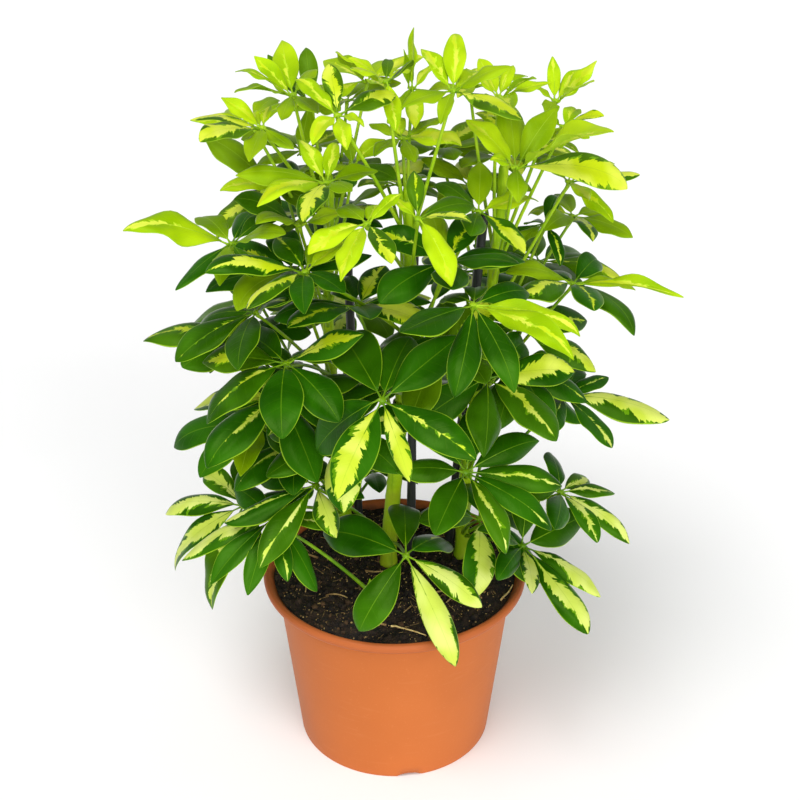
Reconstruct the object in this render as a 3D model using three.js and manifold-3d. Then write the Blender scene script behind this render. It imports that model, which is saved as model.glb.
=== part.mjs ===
// A potted umbrella plant (a variegated dwarf schefflera) about 0.66 m tall.
//
// Three tall leafy stems stand in holes in the soil of a round plastic nursery pot, each beside its own
// black cane, to which a clip holds it. A low young shoot stands in front of them without a cane. Every leaf
// is a long stalk with a whorl of five to eight leaflets at its end. Each leafy stem, with all its leaves, is
// one solid: it grew as one piece.
//
// Millimetres, +Z up. The origin is the centre of the pot's underside, on the surface that it stands on, and
// -Y is the plant's front.

import * as THREE from "three";
import { mergeVertices } from "three/addons/utils/BufferGeometryUtils.js";
import Module from "manifold-3d";

const wasm = await Module();
wasm.setup();

// ---------------------------------------------------------------- driving dimensions

const DEGREE = Math.PI / 180;
const GAP = 0.35; // what two touching pieces keep between them

const POT = {
  height: 172,
  rimRadius: 120,
  neckRadius: 107.5, // outside, just under the rim's lip
  baseRadius: 89,
  wall: 2.3,
  lip: 11, // height of the rolled lip
  floor: 6.5, // top of the pot's bottom plate
  recess: 4, // how far the plate stands off the ground between the boss and the foot ring
  bossRadius: 27,
  footRing: 6, // width of the ring that the pot stands on
  sides: 40,
};
const NOTCH = { count: 3, firstAngle: -81.3, width: 21, height: 3.6 };
const DRAIN = { count: 8, ringRadius: 62, radius: 6, sides: 8 };

// How high the soil lies at its edge, where it meets the slope inside the pot's lip, and in the middle.
const SOIL = { rim: 166, crown: 168, bumps: 1.2 };

// A stem is straight for a little way above the soil before it starts to lean.
const STEM = { sides: 8, straight: 6, steps: 9, tipHeight: 9 };
// Where each stem leaves the soil, how deep it is rooted, where its tip is, how far it sways from the line
// between, and its radius at the bottom and the top. The low one is a young shoot.
const STEMS = {
  front: { foot: [-5, 12], rooted: 95, tip: [13, 20], top: 532, sway: [5, 6], radii: [7.2, 4.8] },
  right: { foot: [62, 24], rooted: 95, tip: [91, 52], top: 538, sway: [0, 5], radii: [6.4, 4.2] },
  left: { foot: [-46, 62], rooted: 95, tip: [-56, 74], top: 522, sway: [-6, -5], radii: [6.2, 4] },
  low: { foot: [-19, -55], rooted: 60, tip: [-22, -58], top: 190, sway: [0, 0], radii: [3, 2.6] },
};

const CANE = { radius: 4, sides: 10, rooted: 90 };
// Where each cane leaves the soil, where its upper end is, and the height of the clip that ties its stem
// to it.
const CANES = {
  front: { foot: [15, 26], head: [17, 40], top: 468, clip: 330 },
  right: { foot: [50, 36], head: [76, 46], top: 500, clip: 344 },
  left: { foot: [-34, 68], head: [-42, 90], top: 470, clip: 248 },
};
const CLIP = { thickness: 1.6, height: 7, sides: 6, play: 0.3 };

const PETIOLE = {
  length: 150,
  leastRise: 45, // how far below the hub a long stalk still leaves its stem
  arch: 0.09,
  footRadius: 2.1,
  endRadius: 1.5,
  sides: 3,
  steps: 3,
};
const HUB = { radius: 3.3, halfHeight: 0.95, neck: 4 };
// A leaflet's widest part is this share of its length, or less where its neighbours leave it less room.
const BLADE = { width: 0.42, room: 1.12, apart: 1.6, thickness: 1.5, arch: 0.07 };
// Where along a leaflet its outline has corners, and how wide it is there. The outline gets plainer as the
// leaflet gets shorter: each is for leaflets of at least that length.
const OUTLINES = [
  { from: 88, stations: [0.3, 0.57, 0.82], widths: [0.6, 1, 0.78] },
  { from: 64, stations: [0.45, 0.78], widths: [0.82, 0.88] },
  { from: 0, stations: [0.6], widths: [1.02] },
];

// ---------------------------------------------------------------- the leaves

// Each leaf: the stem it grows from, the hub where its leaflets meet, and its whorl. A whorl is either a
// count of leaflets and their length, or a fan that gives each leaflet's turn and length. A turn of 0 points
// outwards from the crown's axis. A third number is the leaflet's own lift, and a fourth the share of the
// usual width that a narrow one has. Tilt, lift and bend, where they are given, replace what goes with the
// leaf's height.
const LEAVES = [
  // front of the crown, low to high
  {
    stem: "front", hub: [10, -85, 242], tilt: 24, lift: -5, bend: 35,
    fan: [[-124, 88], [-32, 76], [26, 102, -5, 0.66], [62, 76, -3, 0.8], [142, 92], [178, 86]],
  },
  {
    stem: "right", hub: [59, -88, 327], tilt: 32, lift: 20, bend: 35,
    fan: [[-156, 60], [-102, 58], [-44, 70], [8, 80], [36, 86], [66, 82], [104, 72], [152, 62]],
  },
  {
    stem: "front", hub: [-66, -62, 298], tilt: 12, lift: 22, bend: 24,
    fan: [[-166, 56, 2], [-134, 60, 20], [-88, 70, 8], [-34, 80, 26], [-2, 86, 24], [50, 56, 16],
      [90, 46, 32]],
  },
  {
    stem: "low", hub: [-102, -72, 270], tilt: 2, lift: 5, bend: 35,
    fan: [[-164, 54, 50], [-80, 56, 54], [-38, 88, 20], [-6, 74, -8], [24, 68, 8], [54, 58, 20],
      [86, 70, -26], [120, 54, 36]],
  },
  {
    stem: "front", hub: [-9, -110, 406], tilt: 24, lift: 5, bend: 20,
    fan: [[-142, 96, 4], [-98, 86, -10], [-16, 90, 4], [22, 72, 4, 0.62], [56, 90, 12], [132, 84, -16],
      [172, 80, -4]],
  },
  {
    stem: "right", hub: [62, -85, 477], tilt: 16, lift: 5, bend: 20,
    fan: [[-174, 50, -8], [-68, 84, 20], [-28, 84, 0], [2, 84, 0], [32, 96, 20, 0.8], [60, 88, 12, 0.6],
      [104, 56, 12], [152, 58, 4]],
  },
  {
    stem: "front", hub: [-70, -58, 493], tilt: 12, lift: 25, bend: 35,
    fan: [[-160, 54, 26], [-116, 54, 24], [-28, 84, 44], [6, 72, 32], [38, 64, 22], [78, 50, 20],
      [168, 50, 8]],
  },
  {
    stem: "front", hub: [-20, -90, 547], tilt: 6, lift: 20, bend: 30,
    fan: [[-136, 44, 20], [-44, 52, 12], [-8, 58, 2], [36, 44, 2], [148, 36, 32], [180, 38, 12]],
  },
  {
    stem: "front", hub: [19, -60, 539], tilt: 6, lift: 20, bend: 34,
    fan: [[-178, 44, 50], [-144, 30, 24], [24, 62, -12], [58, 44, 32], [116, 50, 20]],
  },
  // left side
  {
    stem: "left", hub: [-132, -22, 252], tilt: 18, lift: 15, bend: 35,
    fan: [[-112, 60, 32], [-76, 60, 40], [-40, 84, 20], [-8, 92, 0], [28, 96, -20], [70, 60, 10],
      [150, 56, 28]],
  },
  {
    stem: "left", hub: [-115, 0, 321], tilt: 16, lift: 10, bend: 35,
    fan: [[-150, 60], [-104, 74], [-68, 86], [-32, 90], [14, 70], [56, 66], [104, 60], [160, 56]],
  },
  { stem: "left", hub: [-42, -40, 334], count: 7, long: 72, spin: -24 },
  { stem: "left", hub: [-95, -30, 364], count: 7, long: 80 },
  {
    stem: "left", hub: [-125, 30, 385], tilt: 2, lift: 20, bend: 35,
    fan: [[-160, 56], [-110, 56], [-64, 70], [-8, 94, 30], [38, 70], [90, 60], [140, 56]],
  },
  { stem: "left", hub: [-88, -58, 412], count: 7, long: 78, spin: -10 },
  { stem: "left", hub: [-114, -16, 438], count: 7, long: 70 },
  { stem: "left", hub: [-84, 10, 462], count: 8, long: 74 },
  {
    stem: "left", hub: [-131, -18, 500], tilt: 4, lift: 20, bend: 22,
    fan: [[-158, 56, 24], [-126, 62, 26], [-80, 56, 28], [-2, 90, 38], [32, 66, 2], [62, 60, 10],
      [94, 40, -10], [130, 56, 24]],
  },
  {
    stem: "left", hub: [-35, 60, 538], tilt: 6, lift: 20, bend: 20,
    fan: [[-110, 38, 26], [-68, 30, 38], [74, 28, 28], [108, 42, 2], [160, 44, 4]],
  },
  {
    stem: "left", hub: [-103, -10, 595], tilt: 6, lift: 20, bend: 16,
    fan: [[-124, 24, 28], [-90, 32, 12], [-56, 40, 44], [-8, 52, 36], [26, 68, 24], [60, 50, 2],
      [102, 36, 2]],
  },
  {
    stem: "left", hub: [-52, -40, 561], tilt: 6, lift: 20, bend: 30,
    fan: [[-148, 38, 52], [-114, 44, 52], [-42, 70, 32], [-8, 72, 28], [26, 68, 20], [64, 42, 14],
      [164, 40, 12]],
  },
  {
    stem: "left", hub: [-80, 20, 612], tilt: 6, lift: 20, bend: 20,
    fan: [[-124, 40, 28], [-90, 60, 38], [-56, 42, 48], [-4, 48, 48], [28, 58, 32], [64, 40, -4],
      [108, 36, 2]],
  },
  // right side
  {
    stem: "right", hub: [113, -40, 222], tilt: 26, lift: 18, bend: 22,
    fan: [[-120, 60], [-84, 62], [-48, 64], [-18, 98], [10, 80], [76, 76], [140, 60]],
  },
  {
    stem: "right", hub: [147, -10, 259], tilt: 26, lift: 22, bend: 35,
    fan: [[-130, 50], [-80, 62], [-38, 60], [-8, 74], [38, 54], [70, 56], [120, 50]],
  },
  {
    stem: "right", hub: [146, 0, 350], tilt: 16, lift: 25, bend: 35,
    fan: [[-128, 64], [-88, 60], [-32, 64], [10, 92], [56, 52], [88, 64], [126, 60], [170, 56]],
  },
  { stem: "right", hub: [104, -12, 384], count: 7, long: 66 },
  {
    stem: "right", hub: [150, 10, 452], tilt: 16, lift: 25, bend: 35,
    fan: [[-160, 60], [-120, 78], [-76, 84], [-44, 86], [0, 90, 30, 0.45], [34, 62, 20, 0.45], [76, 56],
      [124, 56]],
  },
  {
    stem: "right", hub: [145, 40, 531], tilt: 6, lift: 20, bend: 28,
    fan: [[-76, 50, 20], [-44, 52, -8], [-8, 56, 26], [30, 44, 36], [80, 40, 36], [120, 40, 16]],
  },
  {
    stem: "right", hub: [96, -20, 566], tilt: 6, lift: 20, bend: 28,
    fan: [[-108, 28, 44], [-52, 40, 2], [-4, 100, 48], [30, 92, 24], [98, 60, 50], [136, 72, 36],
      [172, 56, 40]],
  },
  {
    stem: "right", hub: [137, 30, 582], tilt: 6, lift: 20, bend: 20,
    fan: [[-124, 28, 0], [-92, 36, 2], [-56, 36, 16], [-24, 36, 48], [70, 34, 32], [118, 30, 14]],
  },
  {
    stem: "right", hub: [133, 60, 594], tilt: 6, lift: 20, bend: 20,
    fan: [[-116, 34, 2], [-44, 46, 50], [12, 44, 60], [48, 42, 44], [80, 36, 64], [116, 24, 32]],
  },
  // inside the crown
  { stem: "right", hub: [77, -40, 389], count: 7, long: 78, spin: 10, tilt: 26 },
  { stem: "front", hub: [-30, -6, 438], count: 7, long: 70 },
  { stem: "right", hub: [38, -20, 403], count: 7, long: 74 },
  { stem: "front", hub: [42, -20, 485], count: 7, long: 70 },
  { stem: "left", hub: [-82, -10, 312], count: 7, long: 74 },
  { stem: "right", hub: [75, -30, 244], count: 6, long: 72, spin: 20 },
  { stem: "right", hub: [110, 40, 394], count: 7, long: 76 },
  { stem: "left", hub: [-62, 10, 340], count: 7, long: 74, spin: 40 },
  // top
  {
    stem: "front", hub: [46, -10, 625], tilt: 6, lift: 20, bend: 24,
    fan: [[-84, 48, 8], [-50, 36, -8], [12, 68, 12], [48, 48, 48], [112, 42, 16], [146, 56, 48],
      [180, 44, 38]],
  },
  {
    stem: "front", hub: [-6, 10, 626], tilt: 6, lift: 20, bend: 20,
    fan: [[-158, 30, 24], [-40, 36, 44], [-4, 56, 14], [32, 40, -10], [80, 34, 24], [172, 32, 14]],
  },
  {
    stem: "front", hub: [-43, -30, 612], tilt: 6, lift: 20, bend: 20,
    fan: [[-136, 48, 40], [-102, 48, 38], [8, 40, 8], [46, 42, 4], [80, 28, 16], [168, 50, 24]],
  },
  {
    stem: "right", hub: [85, 40, 604], tilt: 6, lift: 20, bend: 20,
    fan: [[-116, 36, 8], [-76, 44, 20], [-40, 42, 50], [-8, 40, 36], [76, 34, 50], [110, 46, 28],
      [144, 34, 38]],
  },
  {
    stem: "left", hub: [-69, 80, 586], tilt: 6, lift: 20, bend: 20,
    fan: [[-90, 36, 32], [-56, 50, 74], [-14, 52, 62], [48, 48, 36], [84, 46, -24], [156, 36, 8]],
  },
  { stem: "left", hub: [-24, 118, 592], count: 6, long: 54 },
  {
    stem: "front", hub: [15, 90, 595], tilt: 6, lift: 20, bend: 20,
    fan: [[-172, 46, -24], [-138, 36, 4], [-28, 32, 44], [8, 50, 64], [40, 32, 62], [154, 28, 2]],
  },
  // back of the crown
  { stem: "left", hub: [-100, 122, 258], count: 7, long: 80 },
  { stem: "front", hub: [14, 172, 270], count: 7, long: 84 },
  { stem: "right", hub: [108, 128, 300], count: 7, long: 80 },
  { stem: "left", hub: [-42, 190, 344], count: 8, long: 84 },
  { stem: "right", hub: [66, 186, 384], count: 8, long: 84 },
  { stem: "left", hub: [-122, 96, 396], count: 7, long: 78 },
  { stem: "right", hub: [130, 110, 428], count: 7, long: 76 },
  { stem: "left", hub: [-66, 160, 452], count: 7, long: 80 },
  { stem: "front", hub: [-10, 168, 492], count: 7, long: 80 },
  { stem: "left", hub: [-106, 100, 504], count: 7, long: 70 },
  { stem: "right", hub: [96, 140, 516], count: 7, long: 72 },
  // between the top leaves
  {
    stem: "front", hub: [7, 50, 565], tilt: 6, lift: 20, bend: 20,
    fan: [[-140, 52, 20], [-72, 44, 24], [-22, 42, 52], [14, 34, 28], [124, 36, 8], [168, 34, -12]],
  },
  {
    stem: "right", hub: [130, 70, 480], tilt: 6, lift: 20, bend: 30,
    fan: [[-170, 40, 8], [-136, 40, 0], [-76, 44, 20], [-44, 48, 60], [56, 40, 48], [90, 40, 16]],
  },
  { stem: "left", hub: [-77, 110, 533], count: 6, long: 58, spin: 20 },
  { stem: "left", hub: [-42, 146, 566], count: 6, long: 52, spin: 22 },
  { stem: "right", hub: [40, 120, 530], count: 6, long: 56, spin: 35 },
  { stem: "right", hub: [66, 90, 509], count: 6, long: 54, spin: 10 },
  { stem: "right", hub: [110, 120, 539], count: 6, long: 54, spin: 50 },
  { stem: "right", hub: [156, 90, 480], count: 6, long: 52, spin: 25 },
  { stem: "front", hub: [5, 100, 505], count: 6, long: 54, spin: 15 },
  { stem: "left", hub: [-94, 78, 512], count: 6, long: 52, spin: 40 },
  { stem: "front", hub: [70, 14, 515], count: 6, long: 52, spin: -14 },
  { stem: "left", hub: [-77, 0, 509], count: 6, long: 52, spin: 30 },
  { stem: "right", hub: [65, 110, 589], count: 6, long: 46, spin: 20 },
  { stem: "left", hub: [-120, 70, 574], count: 6, long: 46, spin: 10 },
  { stem: "left", hub: [-22, 104, 210], count: 6, long: 56, spin: 45 },
];

const CROWN_AXIS = [10, 42]; // the leaves face away from this line

// Leaves low on the plant arch over and droop; those at the top are cupped upwards.
const LOW_LEAF = { height: 300, lift: 6, bend: 36, tilt: 18 };
const HIGH_LEAF = { height: 620, lift: 26, bend: 24, tilt: 6 };

// How the leaflets push each other clear: each is a set of points that turns about its hub.
const CLEARING = {
  rounds: 90,
  blade: 12, // how far two leaflets of one stem keep their points from each other
  otherStem: 17, // and two leaflets of different stems
  rod: 10, // what a leaflet keeps from a stalk, a stem or a cane
  share: 0.3, // how much of the way each round moves it
  mostLift: 28,
  mostYaw: 13,
  overRim: 12,
  overSoil: 12,
};
// The points of a leaflet: the share of its length, and how far out to its edge.
const SAMPLES = [
  [0.28, 0], [0.42, 0], [0.56, 0], [0.7, 0], [0.84, 0], [0.97, 0],
  [0.42, 0.8], [0.42, -0.8], [0.58, 0.85], [0.58, -0.85], [0.76, 0.8], [0.76, -0.8],
];
const SAMPLED = [...new Set(SAMPLES.map(([s]) => s))].sort((a, b) => a - b);

// ---------------------------------------------------------------- vectors and draws

const add = (a, b, scale = 1) => [a[0] + b[0] * scale, a[1] + b[1] * scale, a[2] + b[2] * scale];
const dot = (a, b) => a[0] * b[0] + a[1] * b[1] + a[2] * b[2];
const cross = (a, b) => [a[1] * b[2] - a[2] * b[1], a[2] * b[0] - a[0] * b[2], a[0] * b[1] - a[1] * b[0]];
const unit = (a) => add([0, 0, 0], a, 1 / Math.hypot(...a));
const mix = (a, b, t) => a + (b - a) * t;
const clamp = (x, low, high) => Math.min(high, Math.max(low, x));

// A draw from 0 to 1 that depends only on its two numbers.
function draw(which, purpose) {
  const s = Math.sin(which * 127.1 + purpose * 311.7) * 43758.5453;
  return s - Math.floor(s);
}

const jitter = (which, purpose, amount) => (2 * draw(which, purpose) - 1) * amount;

// ---------------------------------------------------------------- where everything grows

// How far up a stem a height is, from 0 where it starts to lean to 1 at its top.
function stemShare(stem, z) {
  const start = SOIL.crown + STEM.straight;
  return clamp((z - start) / (stem.top - start), 0, 1);
}

// The middle of a stem at a height. Below the soil it goes straight down.
function stemPoint(stem, z) {
  const t = stemShare(stem, z);
  const lean = t * t * (3 - 2 * t);
  const sway = Math.sin(Math.PI * t) ** 2;
  return [
    mix(stem.foot[0], stem.tip[0], lean) + stem.sway[0] * sway,
    mix(stem.foot[1], stem.tip[1], lean) + stem.sway[1] * sway,
    z,
  ];
}

// The middle of a cane at a height.
function canePoint(cane, z) {
  const t = (z - SOIL.crown) / (cane.top - SOIL.crown);
  return [mix(cane.foot[0], cane.head[0], t), mix(cane.foot[1], cane.head[1], t), z];
}

const stemRadius = (stem, z) => mix(...stem.radii, stemShare(stem, z));

// A leaf's whorl: its hub, the frame that its leaflets spread in, its stalk's path and its leaflets.
function makeLeaf(row, index) {
  const { hub } = row;
  const [x, y, z] = hub;
  const age = clamp((z - LOW_LEAF.height) / (HIGH_LEAF.height - LOW_LEAF.height), 0, 1);
  const outward = unit([x - CROWN_AXIS[0], y - CROWN_AXIS[1], 0]);
  const tilt = (row.tilt ?? mix(LOW_LEAF.tilt, HIGH_LEAF.tilt, age) + jitter(index, 1, 6)) * DEGREE;
  const normal = add(add([0, 0, 0], outward, Math.sin(tilt)), [0, 0, 1], Math.cos(tilt));
  const front = unit(add(outward, normal, -dot(outward, normal)));
  const side = cross(normal, front);

  // The stalk leaves the stem below the hub, and arches up and out to it.
  const stem = STEMS[row.stem];
  const reach = Math.hypot(x - stemPoint(stem, z)[0], y - stemPoint(stem, z)[1]);
  const rise = Math.sqrt(Math.max(PETIOLE.length ** 2 - reach ** 2, PETIOLE.leastRise ** 2));
  const foot = stemPoint(stem, clamp(z - rise, SOIL.crown + 22, stem.top - 6));
  const end = add(hub, normal, -HUB.neck);
  const middle = add(add(foot, add(end, foot, -1), 0.5), [0, 0, 1], PETIOLE.arch * reach);
  const petiole = [];
  for (let k = 0; k <= PETIOLE.steps; k++) {
    const t = k / PETIOLE.steps;
    petiole.push([0, 1, 2].map((i) => (1 - t) ** 2 * foot[i] + 2 * t * (1 - t) * middle[i] + t * t * end[i]));
  }

  // Without a fan, the leaflets are spread evenly and the outer ones are a little longer.
  let fan = row.fan;
  if (!fan) {
    const spin = row.spin ?? draw(index, 2) * 360;
    fan = Array.from({ length: row.count }, (_, j) => {
      const turn = spin + (360 * j) / row.count + jitter(index * 11 + j, 3, 22 / row.count);
      const long = row.long * (0.95 + 0.09 * Math.cos(turn * DEGREE) + jitter(index * 11 + j, 4, 0.06));
      return [turn, long];
    });
  }
  const leaflets = fan.map(([turn, long, ownLift, narrow = 1], j) => {
    const which = index * 11 + j;
    const before = turn - (fan[j - 1]?.[0] ?? fan.at(-1)[0] - 360);
    const after = (fan[j + 1]?.[0] ?? fan[0][0] + 360) - turn;
    // The room to the nearer neighbour, as a share of the leaflet's length.
    const room = BLADE.room * Math.sin((Math.min(before, after) * DEGREE) / 2);
    const usualLift = (row.lift ?? mix(LOW_LEAF.lift, HIGH_LEAF.lift, age)) + jitter(which, 6, 6);
    return {
      yaw: turn * DEGREE,
      long,
      wide: long * Math.min(BLADE.width, room) * (0.97 + jitter(which, 5, 0.04)) * narrow,
      lift: (ownLift ?? usualLift) * DEGREE,
      bend: ((row.bend ?? mix(LOW_LEAF.bend, HIGH_LEAF.bend, age)) + jitter(which, 7, 10)) * DEGREE,
      lifted: 0,
      yawed: 0,
    };
  });
  return { index, stemName: row.stem, hub, normal, front, side, petiole, leaflets };
}

// The frame of a leaflet at each of some shares of its length: the point on its midrib, and the directions
// along its blade (normal to it) and across it.
function bladeFrames(leaf, leaflet, shares) {
  const yaw = leaflet.yaw + leaflet.yawed;
  const out = add(add([0, 0, 0], leaf.front, Math.cos(yaw)), leaf.side, Math.sin(yaw));
  const across = cross(leaf.normal, out);
  const lift = leaflet.lift + leaflet.lifted;
  let point = add(leaf.hub, out, HUB.radius);
  let before = 0;
  return shares.map((s) => {
    const half = lift - leaflet.bend * (before + s) * 0.5;
    const along = add(add([0, 0, 0], out, Math.cos(half)), leaf.normal, Math.sin(half));
    point = add(point, along, leaflet.long * (s - before));
    before = s;
    const pitch = lift - leaflet.bend * s;
    const up = add(add([0, 0, 0], out, -Math.sin(pitch)), leaf.normal, Math.cos(pitch));
    return { point, up, across };
  });
}

// The height that a leaflet stays above at a distance from the pot's axis.
function groundHeight(distance) {
  if (distance < POT.neckRadius) return SOIL.crown + CLEARING.overSoil;
  if (distance < POT.rimRadius + 8) return POT.height + CLEARING.overRim;
  return -Infinity;
}

// Turns the leaflets a little at a time, until none stands in another, in a stalk, in a stem or in the pot.
function clearLeaflets(leaves) {
  const rods = [];
  for (const leaf of leaves) {
    rods.push({ leaf, point: leaf.hub });
    for (let k = 1; k < leaf.petiole.length; k++) {
      const from = leaf.petiole[k - 1];
      const step = add(leaf.petiole[k], from, -1);
      for (const t of [0.125, 0.375, 0.625, 0.875]) rods.push({ leaf, point: add(from, step, t) });
    }
  }
  for (const stem of Object.values(STEMS))
    for (let z = SOIL.crown; z < stem.top; z += 9) rods.push({ leaf: null, point: stemPoint(stem, z) });
  for (const cane of Object.values(CANES))
    for (let z = SOIL.crown; z < cane.top; z += 9) rods.push({ leaf: null, point: canePoint(cane, z) });

  const blades = leaves.flatMap((leaf) => leaf.leaflets.map((leaflet) => ({ leaf, leaflet })));
  for (let round = 0; round < CLEARING.rounds; round++) {
    for (const blade of blades) {
      const made = bladeFrames(blade.leaf, blade.leaflet, SAMPLED);
      const frames = new Map(made.map((frame, k) => [SAMPLED[k], frame]));
      blade.points = SAMPLES.map(([s, across]) =>
        add(frames.get(s).point, frames.get(s).across, (across * blade.leaflet.wide) / 2));
      blade.up = frames.get(0.56).up;
      blade.across = frames.get(0.56).across;
      blade.centre = frames.get(0.56).point;
      blade.lift = 0;
      blade.yaw = 0;
      blade.pushes = 0;
    }
    const push = (blade, point, force) => {
      const arm = Math.max(20, Math.hypot(...add(point, blade.leaf.hub, -1)));
      blade.lift += dot(force, blade.up) / arm;
      blade.yaw += dot(force, blade.across) / arm;
      blade.pushes += 1;
    };
    blades.forEach((a, i) => {
      for (const b of blades.slice(i + 1)) {
        if (a.leaf === b.leaf) continue;
        const reach = a.leaf.stemName === b.leaf.stemName ? CLEARING.blade : CLEARING.otherStem;
        const apart = add(a.centre, b.centre, -1);
        if (Math.hypot(...apart) > 0.55 * (a.leaflet.long + b.leaflet.long) + reach) continue;
        const facing = unit(add(a.up, b.up, dot(a.up, b.up) < 0 ? -1 : 1));
        const above = dot(apart, facing) < 0 ? -1 : 1;
        for (const p of a.points)
          for (const q of b.points) {
            const square = (p[0] - q[0]) ** 2 + (p[1] - q[1]) ** 2 + (p[2] - q[2]) ** 2;
            if (square >= reach * reach) continue;
            const force = add([0, 0, 0], facing, (above * (reach - Math.sqrt(square))) / 2);
            push(a, p, force);
            push(b, q, add([0, 0, 0], force, -1));
          }
      }
      for (const rod of rods) {
        if (rod.leaf === a.leaf) continue;
        for (const p of a.points) {
          const r = rod.point;
          const square = (p[0] - r[0]) ** 2 + (p[1] - r[1]) ** 2 + (p[2] - r[2]) ** 2;
          if (square >= CLEARING.rod ** 2) continue;
          const distance = Math.max(0.1, Math.sqrt(square));
          push(a, p, add([0, 0, 0], add(p, r, -1), (CLEARING.rod - distance) / distance));
        }
      }
      for (const p of a.points) {
        const short = groundHeight(Math.hypot(p[0], p[1])) - p[2];
        if (short > 0) push(a, p, [0, 0, short * 2]);
      }
    });
    for (const { leaflet, lift, yaw, pushes } of blades) {
      if (!pushes) continue;
      const share = CLEARING.share / Math.sqrt(pushes);
      leaflet.lifted = limited(leaflet.lifted, lift * share, 0.06, CLEARING.mostLift * DEGREE);
      leaflet.yawed = limited(leaflet.yawed, yaw * share, 0.04, CLEARING.mostYaw * DEGREE);
    }
    for (const { leaflets } of leaves) leaflets.forEach((a, j) => spread(a, leaflets[j + 1] ?? leaflets[0]));
  }
}

// A turn after a step that is no longer than the longest, kept within the most.
const limited = (turn, step, longest, most) => clamp(turn + clamp(step, -longest, longest), -most, most);

// Parts two leaflets of a whorl that have come side by side too close.
function spread(a, b) {
  const turn = b.yaw + b.yawed - a.yaw - a.yawed;
  const gap = turn < 0 ? turn + 2 * Math.PI : turn;
  const steepness = Math.cos((a.lift + a.lifted + b.lift + b.lifted) / 2);
  const least = (BLADE.apart * (a.wide + b.wide)) / (a.long + b.long) / Math.max(0.5, steepness);
  if (gap >= least) return;
  a.yawed -= (least - gap) / 2;
  b.yawed += (least - gap) / 2;
}

// ---------------------------------------------------------------- solids

// A closed shell, made point by point and face by face.
class Shell {
  points = [];
  faces = [];

  point(p) {
    this.points.push(...p);
    return this.points.length / 3 - 1;
  }

  face(...corners) {
    for (let k = 2; k < corners.length; k++) this.faces.push(corners[0], corners[k - 1], corners[k]);
  }

  // Joins two rings of as many points each, which both turn the same way round the direction of travel.
  band(from, to) {
    from.forEach((a, k) => {
      const next = (k + 1) % from.length;
      this.face(a, from[next], to[next]);
      this.face(a, to[next], to[k]);
    });
  }

  solid() {
    return new wasm.Manifold(
      new wasm.Mesh({
        numProp: 3,
        vertProperties: new Float32Array(this.points),
        triVerts: new Uint32Array(this.faces),
      }),
    );
  }
}

// A three.js geometry as a solid.
function solidOf(geometry) {
  const bare = geometry.clone();
  bare.deleteAttribute("normal");
  bare.deleteAttribute("uv");
  const merged = mergeVertices(bare, 1e-4);
  return new wasm.Manifold(
    new wasm.Mesh({
      numProp: 3,
      vertProperties: merged.attributes.position.array,
      triVerts: new Uint32Array(merged.index.array),
    }),
  );
}

function meshOf(name, solid, colour, roughness) {
  const data = solid.getMesh();
  const geometry = new THREE.BufferGeometry()
    .setAttribute("position", new THREE.BufferAttribute(data.vertProperties, 3))
    .setIndex(new THREE.BufferAttribute(data.triVerts, 1));
  const mesh = new THREE.Mesh(
    geometry,
    new THREE.MeshStandardMaterial({ color: colour, roughness, metalness: 0 }),
  );
  mesh.name = name;
  return mesh;
}

// A solid of revolution about Z, from a profile of [radius, height] points that starts and ends on the axis.
function turned(profile, sides) {
  const points = profile.map(([r, z]) => new THREE.Vector2(r, z));
  return solidOf(new THREE.LatheGeometry(points, sides).rotateX(Math.PI / 2));
}

// An upright prism with a regular outline.
function post([x, y], low, high, radius, sides) {
  const made = new THREE.CylinderGeometry(radius, radius, high - low, sides).rotateX(Math.PI / 2);
  return solidOf(made.translate(x, y, (low + high) / 2));
}

// A round bar through points, with a radius for each.
function bar(points, radii, sides) {
  const shell = new Shell();
  const rings = points.map((point, k) => {
    const along = unit(add(points[Math.min(k + 1, points.length - 1)], points[Math.max(k - 1, 0)], -1));
    const u = unit(add([1, 0, 0], along, -along[0]));
    const v = cross(along, u);
    return Array.from({ length: sides }, (_, i) => {
      const angle = (2 * Math.PI * i) / sides;
      return shell.point(add(add(point, u, radii[k] * Math.cos(angle)), v, radii[k] * Math.sin(angle)));
    });
  });
  for (let k = 1; k < rings.length; k++) shell.band(rings[k - 1], rings[k]);
  shell.face(...[...rings[0]].reverse());
  shell.face(...rings.at(-1));
  return shell.solid();
}

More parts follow.
